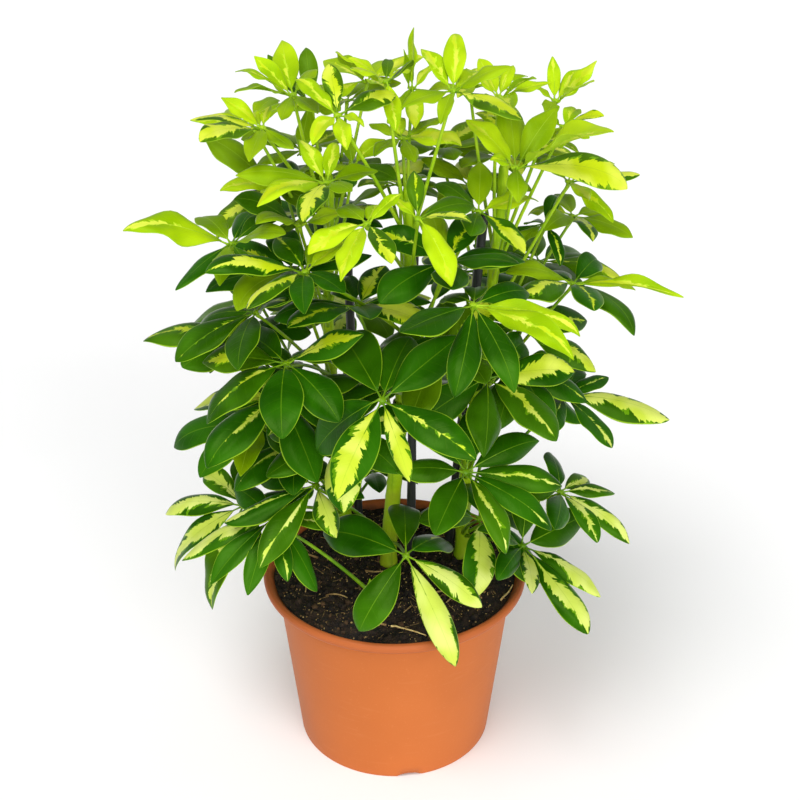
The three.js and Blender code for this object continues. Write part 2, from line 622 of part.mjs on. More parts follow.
// One leaf: the stalk, the hub and the leaflets in a single closed shell.
function leafSolid(leaf) {
  const shell = new Shell();
  const { hub, normal, front, side, leaflets, petiole } = leaf;
  const count = leaflets.length;

  // The stalk's rings turn with the whorl, so that the last one meets the hub squarely.
  const corner = (2 * Math.PI) / PETIOLE.sides;
  const stalk = petiole.map((point, k) => {
    const path = unit(add(petiole[Math.min(k + 1, PETIOLE.steps)], petiole[Math.max(k - 1, 0)], -1));
    const along = k === PETIOLE.steps ? unit(add(path, normal)) : path;
    const u = unit(add(front, along, -dot(front, along)));
    const v = cross(along, u);
    const radius = mix(PETIOLE.footRadius, PETIOLE.endRadius, k / PETIOLE.steps);
    return Array.from({ length: PETIOLE.sides }, (_, i) => {
      const angle = i * corner;
      return shell.point(add(add(point, u, radius * Math.cos(angle)), v, radius * Math.sin(angle)));
    });
  });
  for (let k = 1; k < stalk.length; k++) shell.band(stalk[k - 1], stalk[k]);
  shell.face(...[...stalk[0]].reverse());

  // Round the hub, a leaflet's root shares a corner with each of its neighbours.
  const yaws = leaflets.map((leaflet) => leaflet.yaw + leaflet.yawed);
  const around = (yaw, height) => {
    const out = add(add([0, 0, 0], front, Math.cos(yaw)), side, Math.sin(yaw));
    return add(add(hub, out, HUB.radius), normal, height);
  };
  const corners = yaws.map((yaw, j) => {
    const before = j ? yaws[j - 1] : yaws[count - 1] - 2 * Math.PI;
    return shell.point(around((yaw + before) / 2, 0));
  });
  const middle = shell.point(add(hub, normal, HUB.halfHeight * 1.6));
  const under = [];
  leaflets.forEach((leaflet, j) => {
    const right = corners[j];
    const left = corners[(j + 1) % count];
    const top = shell.point(around(yaws[j], HUB.halfHeight));
    const bottom = shell.point(around(yaws[j], -HUB.halfHeight));
    shell.face(middle, right, top);
    shell.face(middle, top, left);
    under.push(right, bottom);

    let ring = [left, top, right, bottom];
    const outline = OUTLINES.find(({ from }) => leaflet.long >= from);
    const frames = bladeFrames(leaf, leaflet, [...outline.stations, 1]);
    outline.widths.forEach((width, k) => {
      const { point, up, across } = frames[k];
      const half = (leaflet.wide * width) / 2;
      const edge = add(point, up, -BLADE.arch * leaflet.wide * width);
      const next = [
        shell.point(add(edge, across, half)),
        shell.point(add(point, up, BLADE.thickness / 2)),
        shell.point(add(edge, across, -half)),
        shell.point(add(point, up, -BLADE.thickness / 2)),
      ];
      // Each strip is split from the blade's edge to its rib, so that the upper and lower sides stay apart.
      const [l0, t0, r0, b0] = ring;
      const [l1, t1, r1, b1] = next;
      shell.face(l0, t0, t1, l1);
      shell.face(r0, r1, t1, t0);
      shell.face(r0, b0, b1, r1);
      shell.face(l0, l1, b1, b0);
      ring = next;
    });
    const tip = shell.point(frames.at(-1).point);
    ring.forEach((a, k) => shell.face(a, ring[(k + 1) % 4], tip));
  });

  // The underside runs in from the leaflets' roots to the end of the stalk.
  const inner = stalk.at(-1);
  const start = Math.ceil((yaws[0] - Math.PI / count) / corner);
  const innerAt = (q) => inner[(((start + q) % PETIOLE.sides) + PETIOLE.sides) % PETIOLE.sides];
  let q = 0;
  for (let k = 0; k < under.length; k++) {
    const a = under[k];
    const b = under[(k + 1) % under.length];
    shell.face(b, a, innerAt(q));
    while (q < PETIOLE.sides && (q + 1) * corner <= ((k + 1) * Math.PI) / count + 1e-9) {
      shell.face(b, innerAt(q), innerAt(q + 1));
      q += 1;
    }
  }
  return shell.solid();
}

function stemSolid(stem) {
  const start = SOIL.crown + STEM.straight;
  const heights = [SOIL.crown - stem.rooted];
  for (let k = 0; k <= STEM.steps; k++) heights.push(mix(start, stem.top, k / STEM.steps));
  const points = heights.map((z) => stemPoint(stem, z));
  const radii = heights.map((z) => stemRadius(stem, z));
  points.push([points.at(-1)[0], points.at(-1)[1], stem.top + STEM.tipHeight]);
  radii.push(stem.radii[1] * 0.4);
  return bar(points, radii, STEM.sides);
}

// ---------------------------------------------------------------- the pot and the soil

// The slope inside the pot's lip, from its lower end to its upper one.
const LIP_SLOPE = [
  [POT.neckRadius - POT.wall + 1, POT.height - POT.lip - 2],
  [POT.rimRadius - 6.6, POT.height - 1.6],
];

// The radius of the pot's wall, outside, at a height.
const wallRadius = (z) => mix(POT.baseRadius, POT.neckRadius, z / (POT.height - POT.lip));

function potSolid() {
  const { height, rimRadius, neckRadius, wall, lip, floor, recess, bossRadius, footRing } = POT;
  const under = height - lip;
  const body = turned(
    [
      [0, 0],
      [bossRadius, 0],
      [bossRadius + recess, recess],
      [POT.baseRadius - footRing - recess, recess],
      [POT.baseRadius - footRing, 0],
      [POT.baseRadius, 0],
      [neckRadius, under],
      [rimRadius - 3, under + 1],
      [rimRadius - 0.6, under + 4],
      [rimRadius, under + 7.5],
      [rimRadius - 1.6, height - 0.8],
      [rimRadius - 4.4, height],
      ...[...LIP_SLOPE].reverse(),
      [wallRadius(floor) - wall, floor],
      [0, floor],
    ],
    POT.sides,
  );
  const cuts = [];
  for (let k = 0; k < NOTCH.count; k++) {
    const angle = (NOTCH.firstAngle + (360 * k) / NOTCH.count) * DEGREE;
    const tunnel = new THREE.CylinderGeometry(1, 1, 3 * footRing, 12)
      .rotateZ(Math.PI / 2)
      .scale(1, NOTCH.width / 2, NOTCH.height)
      .translate(POT.baseRadius - footRing / 2, 0, 0)
      .rotateZ(angle);
    cuts.push(solidOf(tunnel));
  }
  for (let k = 0; k < DRAIN.count; k++) {
    const angle = ((k + 0.5) * 2 * Math.PI) / DRAIN.count;
    const at = [DRAIN.ringRadius * Math.cos(angle), DRAIN.ringRadius * Math.sin(angle)];
    cuts.push(post(at, -1, floor + 1, DRAIN.radius, DRAIN.sides));
  }
  return cuts.reduce((solid, cut) => solid.subtract(cut), body);
}

function soilSolid() {
  const gap = GAP / Math.cos(Math.PI / POT.sides);
  const bottom = POT.floor + GAP;
  const [neckInside, lipInside] = LIP_SLOPE;
  const low = neckInside[1] - 1;
  const slope = (lipInside[0] - neckInside[0]) / (lipInside[1] - neckInside[1]);
  const edge = neckInside[0] + (SOIL.rim - neckInside[1]) * slope - gap * Math.hypot(1, slope);
  const surface = [1, 0.9, 0.65, 0.35].map((share) => [
    edge * share,
    mix(SOIL.crown, SOIL.rim, share ** 3),
  ]);
  const inside = (z) => wallRadius(z) - POT.wall - gap;
  const profile = [[0, bottom], [inside(bottom), bottom], [inside(low), low], ...surface, [0, SOIL.crown]];
  const lathe = new THREE.LatheGeometry(
    profile.map(([r, z]) => new THREE.Vector2(r, z)),
    POT.sides,
  ).rotateX(Math.PI / 2);
  const position = lathe.attributes.position;
  for (let k = 0; k < position.count; k++) {
    const [x, y, z] = [position.getX(k), position.getY(k), position.getZ(k)];
    if (z < SOIL.rim + 0.1) continue;
    position.setZ(k, z + SOIL.bumps * Math.sin(x * 0.13 + 1) * Math.cos(y * 0.11 - x * 0.05));
  }
  let soil = solidOf(lathe);
  for (const stem of Object.values(STEMS)) {
    const clear = stem.radii[0] + GAP / Math.cos(Math.PI / STEM.sides);
    const low = SOIL.crown - stem.rooted - GAP;
    soil = soil.subtract(post(stem.foot, low, SOIL.crown + 9, clear, STEM.sides));
  }
  for (const cane of Object.values(CANES)) soil = soil.subtract(caneSolid(cane, GAP));
  return soil;
}

// ---------------------------------------------------------------- canes and clips

// A cane, or with a gap round it, the hole that it stands in.
function caneSolid(cane, gap = 0) {
  const ends = [canePoint(cane, SOIL.crown - CANE.rooted - gap), canePoint(cane, cane.top)];
  const radius = CANE.radius + gap / Math.cos(Math.PI / CANE.sides);
  return bar(ends, [radius, radius], CANE.sides);
}

// A flat loop round a stem and its cane.
function clipSolid(stem, cane) {
  const centre = stemPoint(stem, cane.clip);
  const stake = canePoint(cane, cane.clip);
  const toCane = Math.atan2(stake[1] - centre[1], stake[0] - centre[0]);
  const between = Math.hypot(stake[0] - centre[0], stake[1] - centre[1]);
  const loop = (extra) => {
    const radii = [stemRadius(stem, cane.clip - CLIP.height / 2) + extra + CLIP.play, CANE.radius + extra];
    const lean = Math.acos((radii[0] - radii[1]) / between);
    const outline = [];
    for (let k = 0; k <= CLIP.sides; k++) {
      const angle = toCane + mix(-lean, lean, k / CLIP.sides);
      outline.push([stake[0] + radii[1] * Math.cos(angle), stake[1] + radii[1] * Math.sin(angle)]);
    }
    for (let k = 0; k <= CLIP.sides; k++) {
      const angle = toCane + mix(lean, 2 * Math.PI - lean, k / CLIP.sides);
      outline.push([centre[0] + radii[0] * Math.cos(angle), centre[1] + radii[0] * Math.sin(angle)]);
    }
    return outline.map(([x, y]) => new THREE.Vector2(x, y));
  };
  const shape = new THREE.Shape(loop(GAP + CLIP.thickness));
  shape.holes.push(new THREE.Path(loop(GAP)));
  const band = new THREE.ExtrudeGeometry(shape, { depth: CLIP.height, bevelEnabled: false });
  return solidOf(band.translate(0, 0, cane.clip - CLIP.height / 2));
}

// ---------------------------------------------------------------- the object

const leaves = LEAVES.map(makeLeaf);
clearLeaflets(leaves);

const object = new THREE.Group();
object.name = "potted_umbrella_plant";
object.add(meshOf("pot", potSolid(), 0xd9814d, 0.5));
object.add(meshOf("soil", soilSolid(), 0x2a201a, 1));
for (const [name, stem] of Object.entries(STEMS)) {
  let solid = stemSolid(stem);
  for (const leaf of leaves) if (leaf.stemName === name) solid = solid.add(leafSolid(leaf));
  object.add(meshOf(`leafy_stem_${name}`, solid, 0x4f8a2c, 0.5));
}
for (const [name, cane] of Object.entries(CANES)) {
  object.add(meshOf(`cane_${name}`, caneSolid(cane), 0x1b1d1b, 0.5));
  object.add(meshOf(`clip_${name}`, clipSolid(STEMS[name], cane), 0x2c4a2a, 0.5));
}

export default object;
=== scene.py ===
"""The looks of a potted umbrella plant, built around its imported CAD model.

The leaves are laid out just as the CAD model lays them out, from the same named values, and each CAD leafy
stem is then replaced by a finer one. Lengths are in millimetres until a mesh is made, which turns them into
metres.
"""

import itertools
import math
from types import SimpleNamespace as Named

import bmesh
import bpy
import numpy as np
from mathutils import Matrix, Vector


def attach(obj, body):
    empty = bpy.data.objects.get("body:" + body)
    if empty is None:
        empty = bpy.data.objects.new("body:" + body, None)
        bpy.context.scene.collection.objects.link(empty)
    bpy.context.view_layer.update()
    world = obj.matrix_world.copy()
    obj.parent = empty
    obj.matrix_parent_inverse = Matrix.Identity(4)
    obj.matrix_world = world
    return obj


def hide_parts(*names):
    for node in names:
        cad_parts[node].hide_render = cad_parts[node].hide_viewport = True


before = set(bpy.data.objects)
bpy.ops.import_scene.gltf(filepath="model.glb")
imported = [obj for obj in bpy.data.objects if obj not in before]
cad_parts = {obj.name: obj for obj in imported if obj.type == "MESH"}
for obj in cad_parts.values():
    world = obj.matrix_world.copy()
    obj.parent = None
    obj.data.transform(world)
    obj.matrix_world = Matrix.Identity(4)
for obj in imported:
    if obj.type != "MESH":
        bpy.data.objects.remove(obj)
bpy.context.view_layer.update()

DEGREE = math.pi / 180
MM = 0.001

# ---- driving dimensions, as in the CAD model

POT = Named(height=172, rim_radius=120, neck_radius=107.5, base_radius=89, wall=2.3, lip=11, floor=6.5,
            recess=4, boss_radius=27, foot_ring=6)
NOTCH = Named(count=3, first_angle=-81.3, width=21, height=3.6)
DRAIN = Named(count=8, ring_radius=62, radius=6)
SOIL = Named(rim=166, crown=168, bumps=1.2)
STEM = Named(straight=6, tip_height=9)
STEMS = {
    "front": dict(foot=(-5, 12), rooted=95, tip=(13, 20), top=532, sway=(5, 6), radii=(7.2, 4.8)),
    "right": dict(foot=(62, 24), rooted=95, tip=(91, 52), top=538, sway=(0, 5), radii=(6.4, 4.2)),
    "left": dict(foot=(-46, 62), rooted=95, tip=(-56, 74), top=522, sway=(-6, -5), radii=(6.2, 4)),
    "low": dict(foot=(-19, -55), rooted=60, tip=(-22, -58), top=190, sway=(0, 0), radii=(3, 2.6)),
}
CANE = Named(radius=4, rooted=90)
CANES = {
    "front": dict(foot=(15, 26), head=(17, 40), top=468, clip=330),
    "right": dict(foot=(50, 36), head=(76, 46), top=500, clip=344),
    "left": dict(foot=(-34, 68), head=(-42, 90), top=470, clip=248),
}
CLIP = Named(thickness=1.6, height=7, stem_play=0.65, cane_play=0.35)
PETIOLE = Named(length=150, least_rise=45, arch=0.09)
HUB = Named(radius=3.3, neck=4)
BLADE = Named(width=0.42, room=1.12, apart=1.6)
CROWN_AXIS = (10, 42)
LOW_LEAF = dict(height=300, lift=6, bend=36, tilt=18)
HIGH_LEAF = dict(height=620, lift=26, bend=24, tilt=6)
CLEARING = Named(rounds=90, blade=12, other_stem=17, rod=10, share=0.3, most_lift=28, most_yaw=13,
                 over_rim=12, over_soil=12, lift_step=0.06, yaw_step=0.04, least_arm=20)
# Where on a blade the room round it is measured: shares of its length, and of its half-width to either side.
SAMPLES = ((0.28, 0), (0.42, 0), (0.56, 0), (0.7, 0), (0.84, 0), (0.97, 0),
           (0.42, 0.8), (0.42, -0.8), (0.58, 0.85), (0.58, -0.85), (0.76, 0.8), (0.76, -0.8))

# ---- the leaves


def fan(stem, hub, tilt, lift, bend, looks, *leaflets):
    """A leaf that gives each leaflet's turn and length, and may give its lift and share of the usual width.

    looks is a letter from LOOKS for each leaflet.
    """
    return dict(stem=stem, hub=hub, tilt=tilt, lift=lift, bend=bend, looks=looks, fan=leaflets)


def even(stem, hub, count, long, **given):
    """A leaf of so many leaflets of about that length, spread evenly."""
    return dict(stem=stem, hub=hub, count=count, long=long, **given)


LEAVES = [
    fan("front", (10, -85, 242), 24, -5, 35, "ddYYbd",
        (-124, 88), (-32, 76), (26, 102, -5, 0.66), (62, 76, -3, 0.8), (142, 92), (178, 86)),
    fan("right", (59, -88, 327), 32, 20, 35, "dddebbdd",
        (-156, 60), (-102, 58), (-44, 70), (8, 80), (36, 86), (66, 82), (104, 72), (152, 62)),
    fan("front", (-66, -62, 298), 12, 22, 24, "dddssYd",
        (-166, 56, 2), (-134, 60, 20), (-88, 70, 8), (-34, 80, 26), (-2, 86, 24), (50, 56, 16), (90, 46, 32)),
    fan("low", (-102, -72, 270), 2, 5, 35, "ddhddsde",
        (-164, 54, 50), (-80, 56, 54), (-38, 88, 20), (-6, 74, -8), (24, 68, 8), (54, 58, 20), (86, 70, -26),
        (120, 54, 36)),
    fan("front", (-9, -110, 406), 24, 5, 20, "ddvYsdd",
        (-142, 96, 4), (-98, 86, -10), (-16, 90, 4), (22, 72, 4, 0.62), (56, 90, 12), (132, 84, -16),
        (172, 80, -4)),
    fan("right", (62, -85, 477), 16, 5, 20, "ddddlldd",
        (-174, 50, -8), (-68, 84, 20), (-28, 84, 0), (2, 84, 0), (32, 96, 20, 0.8), (60, 88, 12, 0.6),
        (104, 56, 12), (152, 58, 4)),
    fan("front", (-70, -58, 493), 12, 25, 35, "mshhddl",
        (-160, 54, 26), (-116, 54, 24), (-28, 84, 44), (6, 72, 32), (38, 64, 22), (78, 50, 20), (168, 50, 8)),
    fan("front", (-20, -90, 547), 6, 20, 30, "mLlvlL",
        (-136, 44, 20), (-44, 52, 12), (-8, 58, 2), (36, 44, 2), (148, 36, 32), (180, 38, 12)),
    fan("front", (19, -60, 539), 6, 20, 34, "sllvd",
        (-178, 44, 50), (-144, 30, 24), (24, 62, -12), (58, 44, 32), (116, 50, 20)),
    fan("left", (-132, -22, 252), 18, 15, 35, "evYYevd",
        (-112, 60, 32), (-76, 60, 40), (-40, 84, 20), (-8, 92, 0), (28, 96, -20), (70, 60, 10),
        (150, 56, 28)),
    fan("left", (-115, 0, 321), 16, 10, 35, "ddsddmdd",
        (-150, 60), (-104, 74), (-68, 86), (-32, 90), (14, 70), (56, 66), (104, 60), (160, 56)),
    even("left", (-42, -40, 334), 7, 72, spin=-24, looks="dYdsddd"),
    even("left", (-95, -30, 364), 7, 80, looks="ddsvsdd"),
    fan("left", (-125, 30, 385), 2, 20, 35, "ddmedmd",
        (-160, 56), (-110, 56), (-64, 70), (-8, 94, 30), (38, 70), (90, 60), (140, 56)),
    even("left", (-88, -58, 412), 7, 78, spin=-10, looks="bddsdde"),
    even("left", (-114, -16, 438), 7, 70, looks="bdsdedb"),
    even("left", (-84, 10, 462), 8, 74, looks="ddsdmdsd"),
    fan("left", (-131, -18, 500), 4, 20, 22, "ddmldmdm",
        (-158, 56, 24), (-126, 62, 26), (-80, 56, 28), (-2, 90, 38), (32, 66, 2), (62, 60, 10), (94, 40, -10),
        (130, 56, 24)),
    fan("left", (-35, 60, 538), 6, 20, 20, "lmmdd",
        (-110, 38, 26), (-68, 30, 38), (74, 28, 28), (108, 42, 2), (160, 44, 4)),
    fan("left", (-103, -10, 595), 6, 20, 16, "LLlvYmm",
        (-124, 24, 28), (-90, 32, 12), (-56, 40, 44), (-8, 52, 36), (26, 68, 24), (60, 50, 2), (102, 36, 2)),
    fan("left", (-52, -40, 561), 6, 20, 30, "lLmLYmm",
        (-148, 38, 52), (-114, 44, 52), (-42, 70, 32), (-8, 72, 28), (26, 68, 20), (64, 42, 14),
        (164, 40, 12)),
    fan("left", (-80, 20, 612), 6, 20, 20, "mlllmmm",
        (-124, 40, 28), (-90, 60, 38), (-56, 42, 48), (-4, 48, 48), (28, 58, 32), (64, 40, -4), (108, 36, 2)),
    fan("right", (113, -40, 222), 26, 18, 22, "ddYvYdd",
        (-120, 60), (-84, 62), (-48, 64), (-18, 98), (10, 80), (76, 76), (140, 60)),
    fan("right", (147, -10, 259), 26, 22, 35, "ddvvsed",
        (-130, 50), (-80, 62), (-38, 60), (-8, 74), (38, 54), (70, 56), (120, 50)),
    fan("right", (146, 0, 350), 16, 25, 35, "dbsvsddd",
        (-128, 64), (-88, 60), (-32, 64), (10, 92), (56, 52), (88, 64), (126, 60), (170, 56)),
    even("right", (104, -12, 384), 7, 66, looks="dddddbs"),
    fan("right", (150, 10, 452), 16, 25, 35, "mesdlmdd",
        (-160, 60), (-120, 78), (-76, 84), (-44, 86), (0, 90, 30, 0.45), (34, 62, 20, 0.45), (76, 56),
        (124, 56)),
    fan("right", (145, 40, 531), 6, 20, 28, "LlYlmm",
        (-76, 50, 20), (-44, 52, -8), (-8, 56, 26), (30, 44, 36), (80, 40, 36), (120, 40, 16)),
    fan("right", (96, -20, 566), 6, 20, 28, "lmlYmml",
        (-108, 28, 44), (-52, 40, 2), (-4, 100, 48), (30, 92, 24), (98, 60, 50), (136, 72, 36),
        (172, 56, 40)),
    fan("right", (137, 30, 582), 6, 20, 20, "mmlYll",
        (-124, 28, 0), (-92, 36, 2), (-56, 36, 16), (-24, 36, 48), (70, 34, 32), (118, 30, 14)),
    fan("right", (133, 60, 594), 6, 20, 20, "mLLLlm",
        (-116, 34, 2), (-44, 46, 50), (12, 44, 60), (48, 42, 44), (80, 36, 64), (116, 24, 32)),
    even("right", (77, -40, 389), 7, 78, spin=10, tilt=26, looks="svdbddd"),
    even("front", (-30, -6, 438), 7, 70),
    even("right", (38, -20, 403), 7, 74),
    even("front", (42, -20, 485), 7, 70, looks="msdddds"),
    even("left", (-82, -10, 312), 7, 74, looks="dddsddd"),
    even("right", (75, -30, 244), 6, 72, spin=20, looks="dddddY"),
    even("right", (110, 40, 394), 7, 76, looks="sdddddv"),
    even("left", (-62, 10, 340), 7, 74, spin=40, looks="vdsdddd"),
    fan("front", (46, -10, 625), 6, 20, 24, "mmvmllL",
        (-84, 48, 8), (-50, 36, -8), (12, 68, 12), (48, 48, 48), (112, 42, 16), (146, 56, 48), (180, 44, 38)),
    fan("front", (-6, 10, 626), 6, 20, 20, "dlLldl",
        (-158, 30, 24), (-40, 36, 44), (-4, 56, 14), (32, 40, -10), (80, 34, 24), (172, 32, 14)),
    fan("front", (-43, -30, 612), 6, 20, 20, "Yllllv",
        (-136, 48, 40), (-102, 48, 38), (8, 40, 8), (46, 42, 4), (80, 28, 16), (168, 50, 24)),
    fan("right", (85, 40, 604), 6, 20, 20, "mllllll",
        (-116, 36, 8), (-76, 44, 20), (-40, 42, 50), (-8, 40, 36), (76, 34, 50), (110, 46, 28),
        (144, 34, 38)),
    fan("left", (-69, 80, 586), 6, 20, 20, "mdddmm",
        (-90, 36, 32), (-56, 50, 74), (-14, 52, 62), (48, 48, 36), (84, 46, -24), (156, 36, 8)),
    even("left", (-24, 118, 592), 6, 54),
    fan("front", (15, 90, 595), 6, 20, 20, "LmLlmm",
        (-172, 46, -24), (-138, 36, 4), (-28, 32, 44), (8, 50, 64), (40, 32, 62), (154, 28, 2)),
    even("left", (-100, 122, 258), 7, 80),
    even("front", (14, 172, 270), 7, 84),
    even("right", (108, 128, 300), 7, 80),
    even("left", (-42, 190, 344), 8, 84),
    even("right", (66, 186, 384), 8, 84),
    even("left", (-122, 96, 396), 7, 78),
    even("right", (130, 110, 428), 7, 76),
    even("left", (-66, 160, 452), 7, 80),
    even("front", (-10, 168, 492), 7, 80),
    even("left", (-106, 100, 504), 7, 70),
    even("right", (96, 140, 516), 7, 72),
    fan("front", (7, 50, 565), 6, 20, 20, "LmLmmm",
        (-140, 52, 20), (-72, 44, 24), (-22, 42, 52), (14, 34, 28), (124, 36, 8), (168, 34, -12)),
    fan("right", (130, 70, 480), 6, 20, 30, "dmsldd",
        (-170, 40, 8), (-136, 40, 0), (-76, 44, 20), (-44, 48, 60), (56, 40, 48), (90, 40, 16)),
    even("left", (-77, 110, 533), 6, 58, spin=20),
    even("left", (-42, 146, 566), 6, 52, spin=22),
    even("right", (40, 120, 530), 6, 56, spin=35),
    even("right", (66, 90, 509), 6, 54, spin=10, looks="mLmmdm"),
    even("right", (110, 120, 539), 6, 54, spin=50),
    even("right", (156, 90, 480), 6, 52, spin=25, looks="mmlmvm"),
    even("front", (5, 100, 505), 6, 54, spin=15),
    even("left", (-94, 78, 512), 6, 52, spin=40, looks="llmmdm"),
    even("front", (70, 14, 515), 6, 52, spin=-14, looks="vlmdmd"),
    even("left", (-77, 0, 509), 6, 52, spin=30, looks="mmlmdd"),
    even("right", (65, 110, 589), 6, 46, spin=20),
    even("left", (-120, 70, 574), 6, 46, spin=10),
    even("left", (-22, 104, 210), 6, 56, spin=45),
]


# ---- vectors and draws

def vec(*numbers):
    return np.array(numbers, float)


def lengths(a):
    return np.linalg.norm(a, axis=-1)


def unit(a):
    return a / np.linalg.norm(a)


def dots(a, b):
    return (a * b).sum(-1)


def mix(a, b, t):
    return a + (b - a) * t


def clamp(x, low, high):
    return min(high, max(low, x))


def smooth(t):
    return t * t * (3 - 2 * t)


def draw(which, purpose):
    """A draw from 0 to 1 that depends only on its two numbers."""
    s = math.sin(which * 127.1 + purpose * 311.7) * 43758.5453
    return s - math.floor(s)


def jitter(which, purpose, amount):
    return (2 * draw(which, purpose) - 1) * amount


# ---- where everything grows

def stem_share(stem, z):
    start = SOIL.crown + STEM.straight
    return clamp((z - start) / (stem["top"] - start), 0, 1)


def stem_point(stem, z):
    t = stem_share(stem, z)
    sway = math.sin(math.pi * t) ** 2
    return vec(*(mix(stem["foot"][i], stem["tip"][i], smooth(t)) + stem["sway"][i] * sway for i in (0, 1)), z)


def stem_radius(stem, z):
    return mix(*stem["radii"], stem_share(stem, z))


def cane_point(cane, z):
    t = (z - SOIL.crown) / (cane["top"] - SOIL.crown)
    return vec(*(mix(cane["foot"][i], cane["head"][i], t) for i in (0, 1)), z)


def even_fan(row, index):
    """The turns and lengths of a leaf that gives only a count."""
    spin = row.get("spin", draw(index, 2) * 360)
    made = []
    for j in range(row["count"]):
        turn = spin + 360 * j / row["count"] + jitter(index * 11 + j, 3, 22 / row["count"])
        share = 0.95 + 0.09 * math.cos(turn * DEGREE) + jitter(index * 11 + j, 4, 0.06)
        made.append((turn, row["long"] * share))
    return made


def make_leaf(row, index):
    """A leaf's whorl: its hub, the frame that its leaflets spread in, its stalk's path and its leaflets."""
    hub = vec(*row["hub"])
    x, y, z = hub
    age = clamp((z - LOW_LEAF["height"]) / (HIGH_LEAF["height"] - LOW_LEAF["height"]), 0, 1)
    outward = unit(vec(x - CROWN_AXIS[0], y - CROWN_AXIS[1], 0))
    usual = {name: mix(LOW_LEAF[name], HIGH_LEAF[name], age) for name in ("tilt", "lift", "bend")}
    tilt = row.get("tilt", usual["tilt"] + jitter(index, 1, 6)) * DEGREE
    normal = outward * math.sin(tilt) + vec(0, 0, math.cos(tilt))
    front = unit(outward - normal * outward.dot(normal))

    stem = STEMS[row["stem"]]
    reach = math.hypot(x - stem_point(stem, z)[0], y - stem_point(stem, z)[1])
    rise = math.sqrt(max(PETIOLE.length ** 2 - reach ** 2, PETIOLE.least_rise ** 2))
    foot = stem_point(stem, clamp(z - rise, SOIL.crown + 22, stem["top"] - 6))
    end = hub - normal * HUB.neck
    middle = (foot + end) / 2 + vec(0, 0, PETIOLE.arch * reach)

    spread = row["fan"] if "fan" in row else even_fan(row, index)
    leaflets = []
    for j, (turn, long, *own) in enumerate(spread):
        which = index * 11 + j
        before = turn - (spread[j - 1][0] if j else spread[-1][0] - 360)
        after = (spread[j + 1][0] if j + 1 < len(spread) else spread[0][0] + 360) - turn
        room = BLADE.room * math.sin(min(before, after) * DEGREE / 2)
        wide = long * min(BLADE.width, room) * (0.97 + jitter(which, 5, 0.04))
        leaflets.append(dict(
            which=which, yaw=turn * DEGREE, long=long, wide=wide * (own[1] if len(own) > 1 else 1),
            lift=(own[0] if own else row.get("lift", usual["lift"]) + jitter(which, 6, 6)) * DEGREE,
            bend=(row.get("bend", usual["bend"]) + jitter(which, 7, 10)) * DEGREE,
        ))
    return dict(index=index, row=row, stem=row["stem"], hub=hub, normal=normal, front=front,
                side=np.cross(normal, front), ends=(foot, middle, end), leaflets=leaflets)


def petiole_point(leaf, t):
    foot, middle, end = leaf["ends"]
    return (1 - t) ** 2 * foot + 2 * t * (1 - t) * middle + t * t * end


def rods_in_the_way(leaves):
    """Points along every stalk, stem and cane, and the leaf that each belongs to, or -1."""
    rods, owners = [], []
    steps, between = 3, (0.125, 0.375, 0.625, 0.875)
    for leaf in leaves:
        knots = [petiole_point(leaf, k / steps) for k in range(steps + 1)]
        rods += [leaf["hub"], *(mix(a, b, t) for a, b in zip(knots, knots[1:]) for t in between)]
        owners += [leaf["index"]] * (1 + len(between) * steps)
    for bars, point in ((STEMS, stem_point), (CANES, cane_point)):
        rods += [point(bar, z) for bar in bars.values() for z in range(SOIL.crown, bar["top"], 9)]
    return np.array(rods), np.array(owners + [-1] * (len(rods) - len(owners)))


def keep_fans_open(leaves, yaw, yawed, lift, lifted, wide, long):
    """Turns neighbours in a whorl apart until each has room for its width."""
    start = 0
    for leaf in leaves:
        count = len(leaf["leaflets"])
        for j in range(count):
            a, b = start + j, start + (j + 1) % count
            turn = yaw[b] + yawed[b] - yaw[a] - yawed[a]
            gap = turn + 2 * math.pi if turn < 0 else turn
            steepness = max(0.5, math.cos((lift[a] + lifted[a] + lift[b] + lifted[b]) / 2))
            least = BLADE.apart * (wide[a] + wide[b]) / (long[a] + long[b]) / steepness
            if gap < least:
                yawed[a] -= (least - gap) / 2
                yawed[b] += (least - gap) / 2
        start += count


